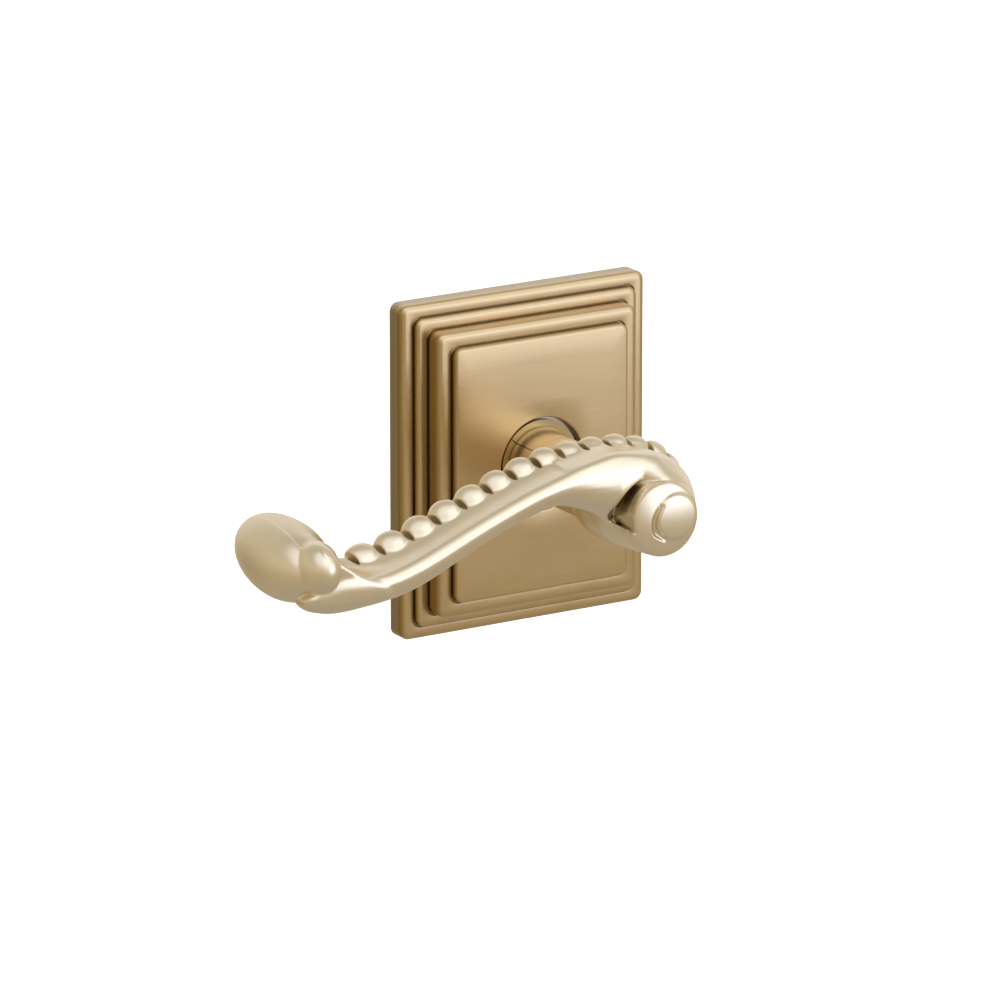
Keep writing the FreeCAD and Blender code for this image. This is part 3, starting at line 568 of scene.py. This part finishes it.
# How softly each feature runs into what is there before it
ARM_ADDITIONS = ((socket_distance, 1.8), (web_distance, 2.4), (shoulder_distance, 2.0))
BEAD_SOFT, NOTCH_SOFT = 0.4, 0.3
GORGE_ARM_SOFT, GORGE_HEAD_SOFT = 1.7, 0.6
HEAD_SOFT, EYE_SOFT, GROOVE_SOFT, TIP_SOFT = 0.35, 0.5, 0.5, 0.3


def lever_distance(x, out, z):
    """The whole lever in front of its shank."""
    arm = smooth_union(arm_distance(x, out, z), beads_distance(x, out, z), BEAD_SOFT)
    arm = smooth_cut(arm, notches_distance(x, out, z), NOTCH_SOFT)
    for feature_distance, soft in ARM_ADDITIONS:
        arm = smooth_union(arm, feature_distance(x, out, z), soft)
    gorge = gorge_distance(x, out, z)
    arm = smooth_cut(arm, gorge, GORGE_ARM_SOFT)
    head = smooth_cut(head_distance(x, out, z), gorge, GORGE_HEAD_SOFT)
    body = smooth_union(arm, head, HEAD_SOFT)
    body = smooth_union(body, eye_distance(x, out, z), EYE_SOFT)
    body = smooth_cut(body, groove_distance(x, out, z), GROOVE_SOFT)
    return smooth_union(body, tip_distance(x, out, z), TIP_SOFT)


PULLS = 3


def fill_pinches(value):
    """Fill the corners where the surface would meet itself along an edge, so no edge has four faces."""
    just_inside = -0.001
    rounds = 4
    for _ in range(rounds):
        for across in range(3):
            u, v = [c for c in range(3) if c != across]
            corners = []
            for du, dv in ((0, 0), (1, 0), (1, 1), (0, 1)):
                pick = [slice(None)] * 3
                pick[u] = slice(du, value.shape[u] - 1 + du)
                pick[v] = slice(dv, value.shape[v] - 1 + dv)
                corners.append(value[tuple(pick)])
            a, b, c, d = [corner < 0 for corner in corners]
            pinched = (a == c) & (b == d) & (a != b)
            for corner in corners:
                corner[pinched & (corner >= 0)] = just_inside


def surface_of(distance, low, high, step):
    """Quads on the zero level of a distance function, its points moved onto the true surface."""
    coarse, band = 4, 2.2
    counts = [int(math.ceil((b - a) / (step * coarse))) * coarse + 1 for a, b in zip(low, high)]
    axes = [low[c] + step * np.arange(counts[c]) for c in range(3)]
    rough_axes = [axis[::coarse] for axis in axes]
    rough = np.stack(np.meshgrid(*rough_axes, indexing="ij"), -1).reshape(-1, 3)
    rough_value = distance(*rough.T).reshape([len(a) for a in rough_axes])
    value = rough_value
    for c in range(3):
        value = np.repeat(value, coarse, axis=c)
        value = value.take(np.arange(counts[c]), axis=c)
    # the repeated values stand for cells, so a wide band is computed afresh
    near = np.abs(value) < step * coarse * band
    grid = np.stack(np.meshgrid(*axes, indexing="ij"), -1)
    value = value.copy()
    value[near] = distance(*grid[near].T)
    fill_pinches(value)
    inside = value < 0
    cell_shape = tuple(n - 1 for n in counts)
    total = np.zeros(cell_shape + (3,))
    hits = np.zeros(cell_shape)
    for c in range(3):
        first = [slice(None)] * 3
        second = [slice(None)] * 3
        first[c], second[c] = slice(0, -1), slice(1, None)
        a, b = value[tuple(first)], value[tuple(second)]
        cross = inside[tuple(first)] != inside[tuple(second)]
        share = np.where(cross, a / np.where(cross, a - b, 1), 0)
        spot = grid[tuple(first)].copy()
        spot[..., c] += share * step
        others = [k for k in range(3) if k != c]
        for da in (0, 1):
            for db in (0, 1):
                pick = [slice(None)] * 3
                pick[others[0]] = slice(da, counts[others[0]] - 1 + da)
                pick[others[1]] = slice(db, counts[others[1]] - 1 + db)
                total += np.where(cross[tuple(pick)][..., None], spot[tuple(pick)], 0)
                hits += cross[tuple(pick)]
    used = hits > 0
    number = np.full(cell_shape, -1)
    number[used] = np.arange(used.sum())
    points = total[used] / hits[used][:, None]
    quads = []
    for c in range(3):
        first = [slice(1, -1)] * 3
        second = [slice(1, -1)] * 3
        first[c], second[c] = slice(0, -1), slice(1, None)
        a, b = inside[tuple(first)], inside[tuple(second)]
        where = np.argwhere(a != b)
        where[:, [k for k in range(3) if k != c]] += 1
        leaving = a[a != b]
        others = [k for k in range(3) if k != c]
        if c == 1:
            others = others[::-1]
        ring = []
        for da, db in ((-1, -1), (0, -1), (0, 0), (-1, 0)):
            cell = where.copy()
            cell[:, others[0]] += da
            cell[:, others[1]] += db
            ring.append(number[cell[:, 0], cell[:, 1], cell[:, 2]])
        quad = np.column_stack(ring)
        quads.append(np.where(leaving[:, None], quad, quad[:, ::-1]))
    quads = np.vstack(quads)
    for _ in range(PULLS):
        points = pull_to_surface(distance, points, step)
    # x, out, z is a left-handed order, so faces are turned over
    return points, quads[:, ::-1]


def pull_to_surface(distance, points, step):
    """Move points along the distance's slope to where it is zero, at most half a step."""
    reach = 0.05
    least_slope2 = 0.05
    here = distance(*points.T)
    slope = np.empty_like(points)
    for c in range(3):
        ahead = points.copy()
        ahead[:, c] += reach
        slope[:, c] = (distance(*ahead.T) - here) / reach
    size2 = np.maximum((slope ** 2).sum(1), least_slope2)
    move = -(here / size2)[:, None] * slope
    length = np.linalg.norm(move, axis=1)[:, None]
    return points + move * np.minimum(1, 0.5 * step / np.maximum(length, TINY))


# ---- materials --------------------------------------------------------------------------------------
CLOUDS_PER_M = 55.0
SPECKS_PER_M = 900.0
# Painted shade in recesses: share of open sky at which a recess is fully darkened, and at which it is left
# unshaded
RECESS_SHADE_FULL, RECESS_SHADE_NONE = 0.12, 0.72
# The painted shade in a recess is redder: what is left of its red, green and blue
RECESS_SHADE_HUE = (1.0, 0.9, 0.7)


def new_material(name):
    """A new material, its node tree and its main shader."""
    material = bpy.data.materials.new(name)
    material.use_nodes = True
    tree = material.node_tree
    return material, tree, tree.nodes["Principled BSDF"]


def add_node(tree, kind, **settings):
    """A new node whose inputs, or else properties, have the given settings."""
    node = tree.nodes.new(kind)
    for key, value in settings.items():
        if key in node.inputs:
            node.inputs[key].default_value = value
        else:
            setattr(node, key, value)
    return node


def metal(name, colour, rough, stretch, grain_size, bump, rough_swing=0.08, tint_swing=0.06,
          recess_shade_reach=0.0, recess_shade_share=0.04):
    """Satin metal, brushed along the axis whose share in stretch is small, with cloudy gloss and tint.

    The last two arguments paint shade into recesses: the reach in metres over which they are darkened, and
    the share of the colour they go down to.
    """
    material, tree, shader = new_material(name)
    link = tree.links.new
    shader.inputs["Metallic"].default_value = 1.0
    place = add_node(tree, "ShaderNodeTexCoord")
    mapping = add_node(tree, "ShaderNodeMapping")
    mapping.inputs["Scale"].default_value = stretch
    link(place.outputs["Object"], mapping.inputs["Vector"])
    grain = add_node(tree, "ShaderNodeTexNoise", Scale=1.0 / grain_size, Detail=3.0, Roughness=0.6)
    link(mapping.outputs["Vector"], grain.inputs["Vector"])
    cloud = add_node(tree, "ShaderNodeTexNoise", Scale=CLOUDS_PER_M, Detail=2.0)
    link(place.outputs["Object"], cloud.inputs["Vector"])
    roughness = add_node(tree, "ShaderNodeMapRange")
    roughness.inputs["To Min"].default_value = rough - rough_swing
    roughness.inputs["To Max"].default_value = rough + rough_swing
    mix = add_node(tree, "ShaderNodeMath", operation="ADD")
    link(grain.outputs["Fac"], mix.inputs[0])
    link(cloud.outputs["Fac"], mix.inputs[1])
    half = add_node(tree, "ShaderNodeMath", operation="MULTIPLY")
    half.inputs[1].default_value = 0.5
    link(mix.outputs[0], half.inputs[0])
    link(half.outputs[0], roughness.inputs["Value"])
    link(roughness.outputs["Result"], shader.inputs["Roughness"])
    ramp = add_node(tree, "ShaderNodeValToRGB")
    for element, position, swing in zip(ramp.color_ramp.elements, (0.3, 0.7), (-tint_swing, tint_swing)):
        element.position = position
        element.color = (*[min(1, c * (1 + swing)) for c in colour], 1)
    link(half.outputs[0], ramp.inputs["Fac"])
    # painted shade: recesses are darkened by ambient occlusion towards a darker, redder brass colour
    if recess_shade_reach:
        open_sky = add_node(tree, "ShaderNodeAmbientOcclusion", samples=8, Distance=recess_shade_reach)
        open_share = add_node(tree, "ShaderNodeMapRange", interpolation_type="SMOOTHSTEP")
        open_share.inputs["From Min"].default_value = RECESS_SHADE_FULL
        open_share.inputs["From Max"].default_value = RECESS_SHADE_NONE
        link(open_sky.outputs["AO"], open_share.inputs["Value"])
        recess_shaded = add_node(tree, "ShaderNodeMix", data_type="RGBA")
        link(open_share.outputs["Result"], recess_shaded.inputs["Factor"])
        recess_shaded.inputs["A"].default_value = (*[c * hue * recess_shade_share for c, hue in zip(colour, RECESS_SHADE_HUE)], 1)
        link(ramp.outputs["Color"], recess_shaded.inputs["B"])
        link(recess_shaded.outputs["Result"], shader.inputs["Base Color"])
    else:
        link(ramp.outputs["Color"], shader.inputs["Base Color"])
    bumps = add_node(tree, "ShaderNodeBump", Strength=1.0, Distance=bump)
    link(grain.outputs["Fac"], bumps.inputs["Height"])
    link(bumps.outputs["Normal"], shader.inputs["Normal"])
    return material


def leave_matt(material, before_x, behind_out, extra):
    """Roughen the metal to the left of before_x and behind behind_out, in metres."""
    fade = 0.004
    tree = material.node_tree
    link = tree.links.new
    shader = tree.nodes["Principled BSDF"]
    polished = shader.inputs["Roughness"].links[0].from_socket
    place = add_node(tree, "ShaderNodeTexCoord")
    split = add_node(tree, "ShaderNodeSeparateXYZ")
    link(place.outputs["Object"], split.inputs["Vector"])
    shares = []
    for axis, start, end in (("X", before_x + fade, before_x), ("Y", -behind_out, fade - behind_out)):
        share = add_node(tree, "ShaderNodeMapRange", interpolation_type="SMOOTHSTEP")
        share.inputs["From Min"].default_value = start
        share.inputs["From Max"].default_value = end
        link(split.outputs[axis], share.inputs["Value"])
        shares.append(share.outputs["Result"])
    both = add_node(tree, "ShaderNodeMath", operation="MULTIPLY")
    link(shares[0], both.inputs[0])
    link(shares[1], both.inputs[1])
    rougher = add_node(tree, "ShaderNodeMath", operation="MULTIPLY_ADD")
    link(both.outputs[0], rougher.inputs[0])
    rougher.inputs[1].default_value = extra
    link(polished, rougher.inputs[2])
    link(rougher.outputs[0], shader.inputs["Roughness"])


def tint_where(material, output, axis, start, end, tint):
    """Multiply the metal's colour by tint as an Object or Normal coordinate goes from start to end."""
    tree = material.node_tree
    link = tree.links.new
    shader = tree.nodes["Principled BSDF"]
    plain = shader.inputs["Base Color"].links[0].from_socket
    place = add_node(tree, "ShaderNodeTexCoord")
    split = add_node(tree, "ShaderNodeSeparateXYZ")
    link(place.outputs[output], split.inputs["Vector"])
    share = add_node(tree, "ShaderNodeMapRange", interpolation_type="SMOOTHSTEP")
    share.inputs["From Min"].default_value = start
    share.inputs["From Max"].default_value = end
    link(split.outputs[axis], share.inputs["Value"])
    tinted = add_node(tree, "ShaderNodeMix", data_type="RGBA", blend_type="MULTIPLY")
    link(share.outputs["Result"], tinted.inputs["Factor"])
    link(plain, tinted.inputs["A"])
    tinted.inputs["B"].default_value = (*tint, 1)
    link(tinted.outputs["Result"], shader.inputs["Base Color"])


def plastic(name, colour, rough):
    """Moulded or pressed material with a fine speckle in its colour, gloss and surface."""
    dark_share, rough_swing = 0.85, 0.1
    material, tree, shader = new_material(name)
    link = tree.links.new
    place = add_node(tree, "ShaderNodeTexCoord")
    speckle = add_node(tree, "ShaderNodeTexNoise", Scale=SPECKS_PER_M, Detail=2.0)
    link(place.outputs["Object"], speckle.inputs["Vector"])
    ramp = add_node(tree, "ShaderNodeValToRGB")
    ramp.color_ramp.elements[0].color = (*[c * dark_share for c in colour], 1)
    ramp.color_ramp.elements[1].color = (*colour, 1)
    link(speckle.outputs["Fac"], ramp.inputs["Fac"])
    link(ramp.outputs["Color"], shader.inputs["Base Color"])
    roughness = add_node(tree, "ShaderNodeMapRange")
    roughness.inputs["To Min"].default_value = rough - rough_swing
    roughness.inputs["To Max"].default_value = rough + rough_swing
    link(speckle.outputs["Fac"], roughness.inputs["Value"])
    link(roughness.outputs["Result"], shader.inputs["Roughness"])
    bumps = add_node(tree, "ShaderNodeBump", Strength=0.6, Distance=0.00005)
    link(speckle.outputs["Fac"], bumps.inputs["Height"])
    link(bumps.outputs["Normal"], shader.inputs["Normal"])
    return material


# Brushing: the grain's scale along x, y and z; a small one draws the grain out into lines
EVEN = (1.0, 1.0, 1.0)
ALONG_X = (0.05, 1.0, 1.0)
ALONG_Y = (1.0, 0.05, 1.0)

# the three brass finishes below darken their recesses with painted shade
GOLD_BRASS = metal("gold_satin_brass", (0.67, 0.51, 0.30), 0.30, ALONG_X, 0.0004, 0.000006, recess_shade_reach=0.0009)
# the brushing runs across; the walls facing left and right are darkened with painted shade
SIDE_WALL_SHADE = (0.62, 0.56, 0.34)
for side in (-1, 1):
    tint_where(GOLD_BRASS, "Normal", "X", side * 0.35, side * 0.9, SIDE_WALL_SHADE)
PALE_BRASS = metal("pale_satin_brass", (0.89, 0.79, 0.61), 0.31, EVEN, 0.0003, 0.000003,
                   rough_swing=0.05, tint_swing=0.03, recess_shade_reach=0.004, recess_shade_share=0.35)
# the rolled end behind its eye is left less polished than the rest of the lever
leave_matt(PALE_BRASS, before_x=-0.080, behind_out=0.053, extra=0.18)
NECK_BRASS = metal("neck_satin_brass", (0.86, 0.72, 0.50), 0.30, ALONG_Y, 0.0004, 0.000005, recess_shade_reach=0.0015)
# the flange sits in the rosette's hole and is darkened there as painted shade
tint_where(NECK_BRASS, "Object", "Y", -0.0136, -0.0128, (0.60, 0.53, 0.38))
ZINC_STEEL = metal("zinc_plated_steel", (0.60, 0.60, 0.58), 0.35, EVEN, 0.002, 0.00001)
SPRING_STEEL = metal("spring_steel", (0.28, 0.28, 0.30), 0.38, EVEN, 0.001, 0.00001)
ZINC_CASTING = metal("zinc_casting", (0.42, 0.42, 0.42), 0.5, EVEN, 0.0012, 0.00003)
NYLON = plastic("natural_nylon", (0.80, 0.78, 0.70), 0.5)
FIBRE = plastic("pressed_fibre", (0.035, 0.033, 0.03), 0.85)

BY_SLOT = {
    "trim_brass": GOLD_BRASS, "lever_brass": PALE_BRASS, "steel": ZINC_STEEL, "plated_steel": ZINC_STEEL,
    "spring_steel": SPRING_STEEL, "zinc_casting": ZINC_CASTING, "nylon": NYLON, "fibre": FIBRE}
for part in frame["record"]["subparts"]:
    mesh = frame["nodes"][part["node"]].data
    mesh.materials.clear()
    mesh.materials.append(NECK_BRASS if part["node"] == "neck_sleeve" else BY_SLOT[part["material_slot"]])


# ---- the rosette ------------------------------------------------------------------------------------------
# Each tier: inset of its edge, and how far out its face is
TIERS = ((0.0, 5.5), (3.2, 7.2), (6.1, 11.9), (9.7, 13.8))
# Rounding of each tier's edge, across and outward
TIER_ROUNDS = ((1.5, 1.2), (1.2, 0.8), (1.5, 1.2), (0.8, 0.8))
ROUND_STEPS = 8
TIER_CORNER_R = 2.2
# The fine groove at the foot of each step
QUIRK_DEEP = 0.35
QUIRK_WIDE = 0.4
QUIRK_LIP = 0.15
QUIRK_STEPS = 6
HOLE_R = 11.2
HOLE_RIM_R = HOLE_R + 0.5
# The hole's rounded rim: radius beyond the hole's, and depth below the panel
HOLE_RIM = ((0.55, 0.0), (0.4, 0.03), (0.1, 0.25), (0.0, 0.55))
SHELL = 1.9
SHELL_CORNER_R = 1.0
PER_SIDE, PER_CORNER = 24, 10


def rosette_profile():
    """Inset from the outer edge, out, and corner radius, from the back rim to the front panel."""
    rows = [(0.0, 0.0, TIER_CORNER_R)]
    for k, (inset, out) in enumerate(TIERS):
        for step in range(ROUND_STEPS + 1):
            angle = math.radians(90 * step / ROUND_STEPS)
            shift = TIER_ROUNDS[k][0] * (1 - math.cos(angle))
            fall = TIER_ROUNDS[k][1] * (1 - math.sin(angle))
            rows.append((inset + shift, out - fall, TIER_CORNER_R - shift))
        if k + 1 < len(TIERS):
            foot = TIERS[k + 1][0]
            rows.append((foot - QUIRK_WIDE - QUIRK_LIP, out - 0.02, TIER_CORNER_R + 0.2))
            for step in range(QUIRK_STEPS + 1):
                angle = math.radians(180 * step / QUIRK_STEPS)
                across = foot - QUIRK_WIDE / 2 - QUIRK_WIDE / 2 * math.cos(angle)
                rows.append((across, out - 0.05 - QUIRK_DEEP * math.sin(angle), TIER_CORNER_R + 0.1))
            rows.append((foot, out + 0.1, TIER_CORNER_R))
    return rows


def rounded_rectangle(half_w, half_h, corner, per_side, per_corner):
    """Points round a rectangle, the same number on every ring, starting on the right side."""
    points = []
    straight_w, straight_h = half_w - corner, half_h - corner
    sides = (((half_w, -straight_h), (half_w, straight_h)), ((straight_w, half_h), (-straight_w, half_h)),
             ((-half_w, straight_h), (-half_w, -straight_h)), ((-straight_w, -half_h), (straight_w, -half_h)))
    centres = ((straight_w, straight_h), (-straight_w, straight_h), (-straight_w, -straight_h),
               (straight_w, -straight_h))
    for quarter, ((x0, z0), (x1, z1)) in enumerate(sides):
        for k in range(per_side):
            t = k / per_side
            points.append((x0 + (x1 - x0) * t, z0 + (z1 - z0) * t))
        cx, cz = centres[quarter]
        for k in range(per_corner):
            angle = math.radians(90 * quarter + 90 * k / per_corner)
            points.append((cx + corner * math.cos(angle), cz + corner * math.sin(angle)))
    return points


def rosette_ring(inset, out, corner):
    """One ring of points, set in from the rosette's edge."""
    half_w, half_h = ROSETTE_HIGH[0] - inset, ROSETTE_HIGH[1] - inset
    outline = rounded_rectangle(half_w, half_h, corner, PER_SIDE, PER_CORNER)
    return [(x, out, z) for x, z in outline]


def build_rosette():
    """The cover plate: stepped front, round hole with a soft rim, and hollow back, as one closed sweep."""
    rings = [rosette_ring(*row) for row in rosette_profile()]
    panel_out = TIERS[-1][1]
    last = rings[-1]
    angles = [math.atan2(z, x) for x, _, z in last]
    rim = [(HOLE_RIM_R * math.cos(a), HOLE_RIM_R * math.sin(a)) for a in angles]
    for share in (0.25, 0.5, 0.75):
        rings.append([(x + share * (rim_x - x), panel_out, z + share * (rim_z - z))
                      for (x, _, z), (rim_x, rim_z) in zip(last, rim)])
    for beyond, below in (*HOLE_RIM, (0.0, SHELL)):
        radius, out = HOLE_R + beyond, panel_out - below
        rings.append([(radius * math.cos(a), out, radius * math.sin(a)) for a in angles])
    # hollow back: the panel's inside, then each tier's inside, down to the back rim
    inside = []
    for inset, out in reversed(TIERS):
        inside.append((inset + SHELL, out - SHELL))
        lower = [o for i, o in TIERS if i < inset]
        inside.append((inset + SHELL, lower[-1] - SHELL if lower else 0.0))
    rings += [rosette_ring(inset, out, SHELL_CORNER_R) for inset, out in inside]
    points = [p for ring in rings for p in ring]
    # the last ring joins the first
    faces = ring_faces(rings + rings[:1], len(points))
    mesh_piece("stepped_rosette", points, faces, GOLD_BRASS, "rose", "rosette")


# ---- the lever ------------------------------------------------------------------------------------------
# Corners of the box that the lever's surface is looked for in, and the spacing of the samples
GRID_LOW, GRID_HIGH = (-101.0, 24.0, -17.0), (19.0, 75.0, 21.0)
GRID_STEP, QUICK_GRID_STEP = 0.36, 0.5


def build_lever():
    """Everything of the lever in front of the neck sleeve."""
    step = GRID_STEP
    points, quads = surface_of(lever_distance, GRID_LOW, GRID_HIGH, step)
    mesh_piece("scroll_lever", points, quads, PALE_BRASS, "lever", "lever")


SHANK_R = 7.0
SHANK_CHAMFER = 0.4
SHANK_INTO_HEAD = 0.5
SOCKET_PLAY = 0.15
SOCKET_BOTTOM_PLAY = 0.5
SOCKET_CORNER_R = 0.4
SHANK_AROUND = 48


def build_shank():
    """The lever's round shank inside the neck sleeve, with its square socket for the spindle."""
    back, front = SLEEVE_LOW[2], SLEEVE_HIGH[2] + SHANK_INTO_HEAD
    socket_half = SPINDLE_HIGH[0] + SOCKET_PLAY
    socket_floor = SPINDLE_HIGH[2] + SOCKET_BOTTOM_PLAY
    angles = [2 * math.pi * k / SHANK_AROUND for k in range(SHANK_AROUND)]
    rings = []
    for radius, out in ((SHANK_R, front), (SHANK_R, back + SHANK_CHAMFER), (SHANK_R - SHANK_CHAMFER, back)):
        rings.append([(radius * math.cos(angle), out, radius * math.sin(angle)) for angle in angles])
    per_eighth = SHANK_AROUND // 8
    square = rounded_rectangle(socket_half, socket_half, SOCKET_CORNER_R, per_eighth, per_eighth)
    # the square's points start low on its right side, so they are moved on to start at its middle
    square = square[per_eighth // 2:] + square[:per_eighth // 2]
    for out in (back, socket_floor):
        rings.append([(x, out, z) for x, z in square])
    points = [p for ring in rings for p in ring]
    # its rings run the other way, so its faces are turned over
    faces = [(a, d, c, b) for a, b, c, d in ring_faces(rings, len(points))]
    faces.append(tuple(range(SHANK_AROUND)))
    faces.append(tuple(range(len(points) - 1, len(points) - 1 - SHANK_AROUND, -1)))
    mesh_piece("lever_shank", points, faces, PALE_BRASS, "lever", "lever")


build_rosette()
build_lever()
build_shank()


# ---- studio -----------------------------------------------------------------------------------------------
# Colours of the surround by height, from straight down (0) to straight up (1)
SURROUND = (
    (0.0, (0.42, 0.38, 0.32, 1)), (0.40, (0.50, 0.415, 0.275, 1)), (0.60, (0.66, 0.58, 0.45, 1)),
    (1.0, (0.50, 0.46, 0.38, 1)))
# Round patches laid over it: direction, cosines where each begins and where it is full, colour
PATCHES = (
    ((0.32, -0.74, 0.59), 0.72, 0.86, (0.88, 0.91, 0.98, 1)),
    ((-0.32, -0.52, 0.79), 0.82, 0.92, (1.0, 1.0, 1.06, 1)),
    ((0.50, 0.83, 0.26), 0.6, 0.9, (0.85, 0.84, 0.82, 1)),
    ((-0.50, 0.82, -0.27), 0.92, 0.99, (0.30, 0.25, 0.15, 1)))
KEY_AT = (0.45, -1.5, 1.3)
KEY_SIZE = (1.8, 1.4)
KEY_POWER = 3
CARD_AT = (0.120, -0.265, 0.032)
CARD_HALF_W, CARD_HALF_H = 0.105, 0.075
CARD_FACES = (-0.502, -0.82)
CARD_COLOUR = (0.90, 0.97, 1.14, 1)
CARD_STRENGTH = 1.7
FLOOR_HALF = 6.0
FLOOR_HEIGHT = -0.30
FLOOR_GLOW = 0.75
AZIMUTH, ELEVATION = math.radians(-31.5), math.radians(16.0)
DISTANCE = 2.0
# How wide a view the camera takes in at the origin, and the spot it aims at, right and up from there
VIEW_WIDTH = 0.23624
AIM_RIGHT, AIM_UP = -0.002811, -0.011765


def area_light(name, place, target, size, power):
    """A rectangular lamp turned towards its target."""
    data = bpy.data.lights.new(name, "AREA")
    data.shape = "RECTANGLE"
    data.size, data.size_y = size
    data.energy = power
    lamp = bpy.data.objects.new(name, data)
    bpy.context.scene.collection.objects.link(lamp)
    lamp.location = place
    lamp.rotation_euler = (Vector(target) - Vector(place)).to_track_quat("-Z", "Y").to_euler()


def studio():
    """Soft surround with bright and dark patches, one large lamp and a card."""
    world = bpy.data.worlds.new("studio")
    bpy.context.scene.world = world
    world.use_nodes = True
    tree = world.node_tree
    link = tree.links.new
    background = tree.nodes["Background"]
    place = add_node(tree, "ShaderNodeTexCoord")
    split = add_node(tree, "ShaderNodeSeparateXYZ")
    link(place.outputs["Generated"], split.inputs["Vector"])
    ramp = add_node(tree, "ShaderNodeValToRGB")
    elements = ramp.color_ramp.elements
    elements[0].position, elements[0].color = SURROUND[0]
    elements[1].position, elements[1].color = SURROUND[-1]
    for position, colour in SURROUND[1:-1]:
        elements.new(position).color = colour
    rise = add_node(tree, "ShaderNodeMapRange")
    rise.inputs["From Min"].default_value = -1.0
    rise.inputs["From Max"].default_value = 1.0
    link(split.outputs["Z"], rise.inputs["Value"])
    link(rise.outputs["Result"], ramp.inputs["Fac"])

    def patch(direction, start, full):
        """How far inside a round patch of the surround a direction lies."""
        facing = add_node(tree, "ShaderNodeVectorMath", operation="DOT_PRODUCT")
        facing.inputs[1].default_value = direction
        link(place.outputs["Generated"], facing.inputs[0])
        edge = add_node(tree, "ShaderNodeMapRange", interpolation_type="SMOOTHSTEP")
        edge.inputs["From Min"].default_value = start
        edge.inputs["From Max"].default_value = full
        link(facing.outputs["Value"], edge.inputs["Value"])
        return edge.outputs["Result"]

    def lay(under, share, colour):
        """One colour laid over another by a share."""
        mix = add_node(tree, "ShaderNodeMix", data_type="RGBA")
        link(share, mix.inputs["Factor"])
        link(under, mix.inputs["A"])
        mix.inputs["B"].default_value = colour
        return mix.outputs["Result"]

    surround = ramp.outputs["Color"]
    for direction, start, full, colour in PATCHES:
        surround = lay(surround, patch(direction, start, full), colour)
    link(surround, background.inputs["Color"])
    background.inputs["Strength"].default_value = 1.0
    area_light("key", KEY_AT, (0, 0, 0), KEY_SIZE, KEY_POWER)
    card()


def card():
    """A white card close by on the right, so the faces turned its way fade from top to bottom."""
    mesh = bpy.data.meshes.new("card")
    corners = [(side * CARD_HALF_W, 0, rise * CARD_HALF_H)
               for side, rise in ((-1, -1), (1, -1), (1, 1), (-1, 1))]
    mesh.from_pydata(corners, [], [(0, 1, 2, 3)])
    sheet = bpy.data.objects.new("card", mesh)
    bpy.context.collection.objects.link(sheet)
    sheet.location = CARD_AT
    sheet.rotation_euler = (0, 0, math.atan2(*CARD_FACES) + math.pi)
    material, _, shader = new_material("card_white")
    shader.inputs["Base Color"].default_value = (0, 0, 0, 1)
    shader.inputs["Emission Color"].default_value = CARD_COLOUR
    shader.inputs["Emission Strength"].default_value = CARD_STRENGTH
    mesh.materials.append(material)
    sheet.visible_camera = False
    sheet.visible_shadow = False
    sheet.visible_diffuse = False


def floor():
    """A plain pale floor that glows a little, so that it stays even."""
    mesh = bpy.data.meshes.new("floor")
    corners = [(right * FLOOR_HALF, back * FLOOR_HALF, FLOOR_HEIGHT)
               for right, back in ((-1, -1), (1, -1), (1, 1), (-1, 1))]
    mesh.from_pydata(corners, [], [(0, 1, 2, 3)])
    slab = bpy.data.objects.new("floor", mesh)
    bpy.context.scene.collection.objects.link(slab)
    material, _, shader = new_material("pale_floor")
    shader.inputs["Base Color"].default_value = (0.9, 0.9, 0.9, 1)
    shader.inputs["Roughness"].default_value = 0.9
    shader.inputs["Emission Color"].default_value = (1, 1, 1, 1)
    shader.inputs["Emission Strength"].default_value = FLOOR_GLOW
    mesh.materials.append(material)
    slab.visible_glossy = False
    slab.visible_diffuse = False


def camera():
    """The camera, well back with a long lens, in front on the left and a little above."""
    back = Vector((math.sin(AZIMUTH) * math.cos(ELEVATION), -math.cos(AZIMUTH) * math.cos(ELEVATION),
                   math.sin(ELEVATION)))
    right = Vector((math.cos(AZIMUTH), math.sin(AZIMUTH), 0))
    up = back.cross(right)
    place = right * AIM_RIGHT + up * AIM_UP + back * DISTANCE
    data = bpy.data.cameras.new("camera")
    data.sensor_width = 36.0
    data.lens = data.sensor_width * DISTANCE / VIEW_WIDTH
    data.clip_end = 50
    viewer = bpy.data.objects.new("camera", data)
    bpy.context.scene.collection.objects.link(viewer)
    viewer.matrix_world = Matrix((
        (right.x, up.x, back.x, place.x),
        (right.y, up.y, back.y, place.y),
        (right.z, up.z, back.z, place.z),
        (0, 0, 0, 1)))
    bpy.context.scene.camera = viewer


studio()
floor()
camera()
bpy.context.scene.view_settings.view_transform = "Standard"
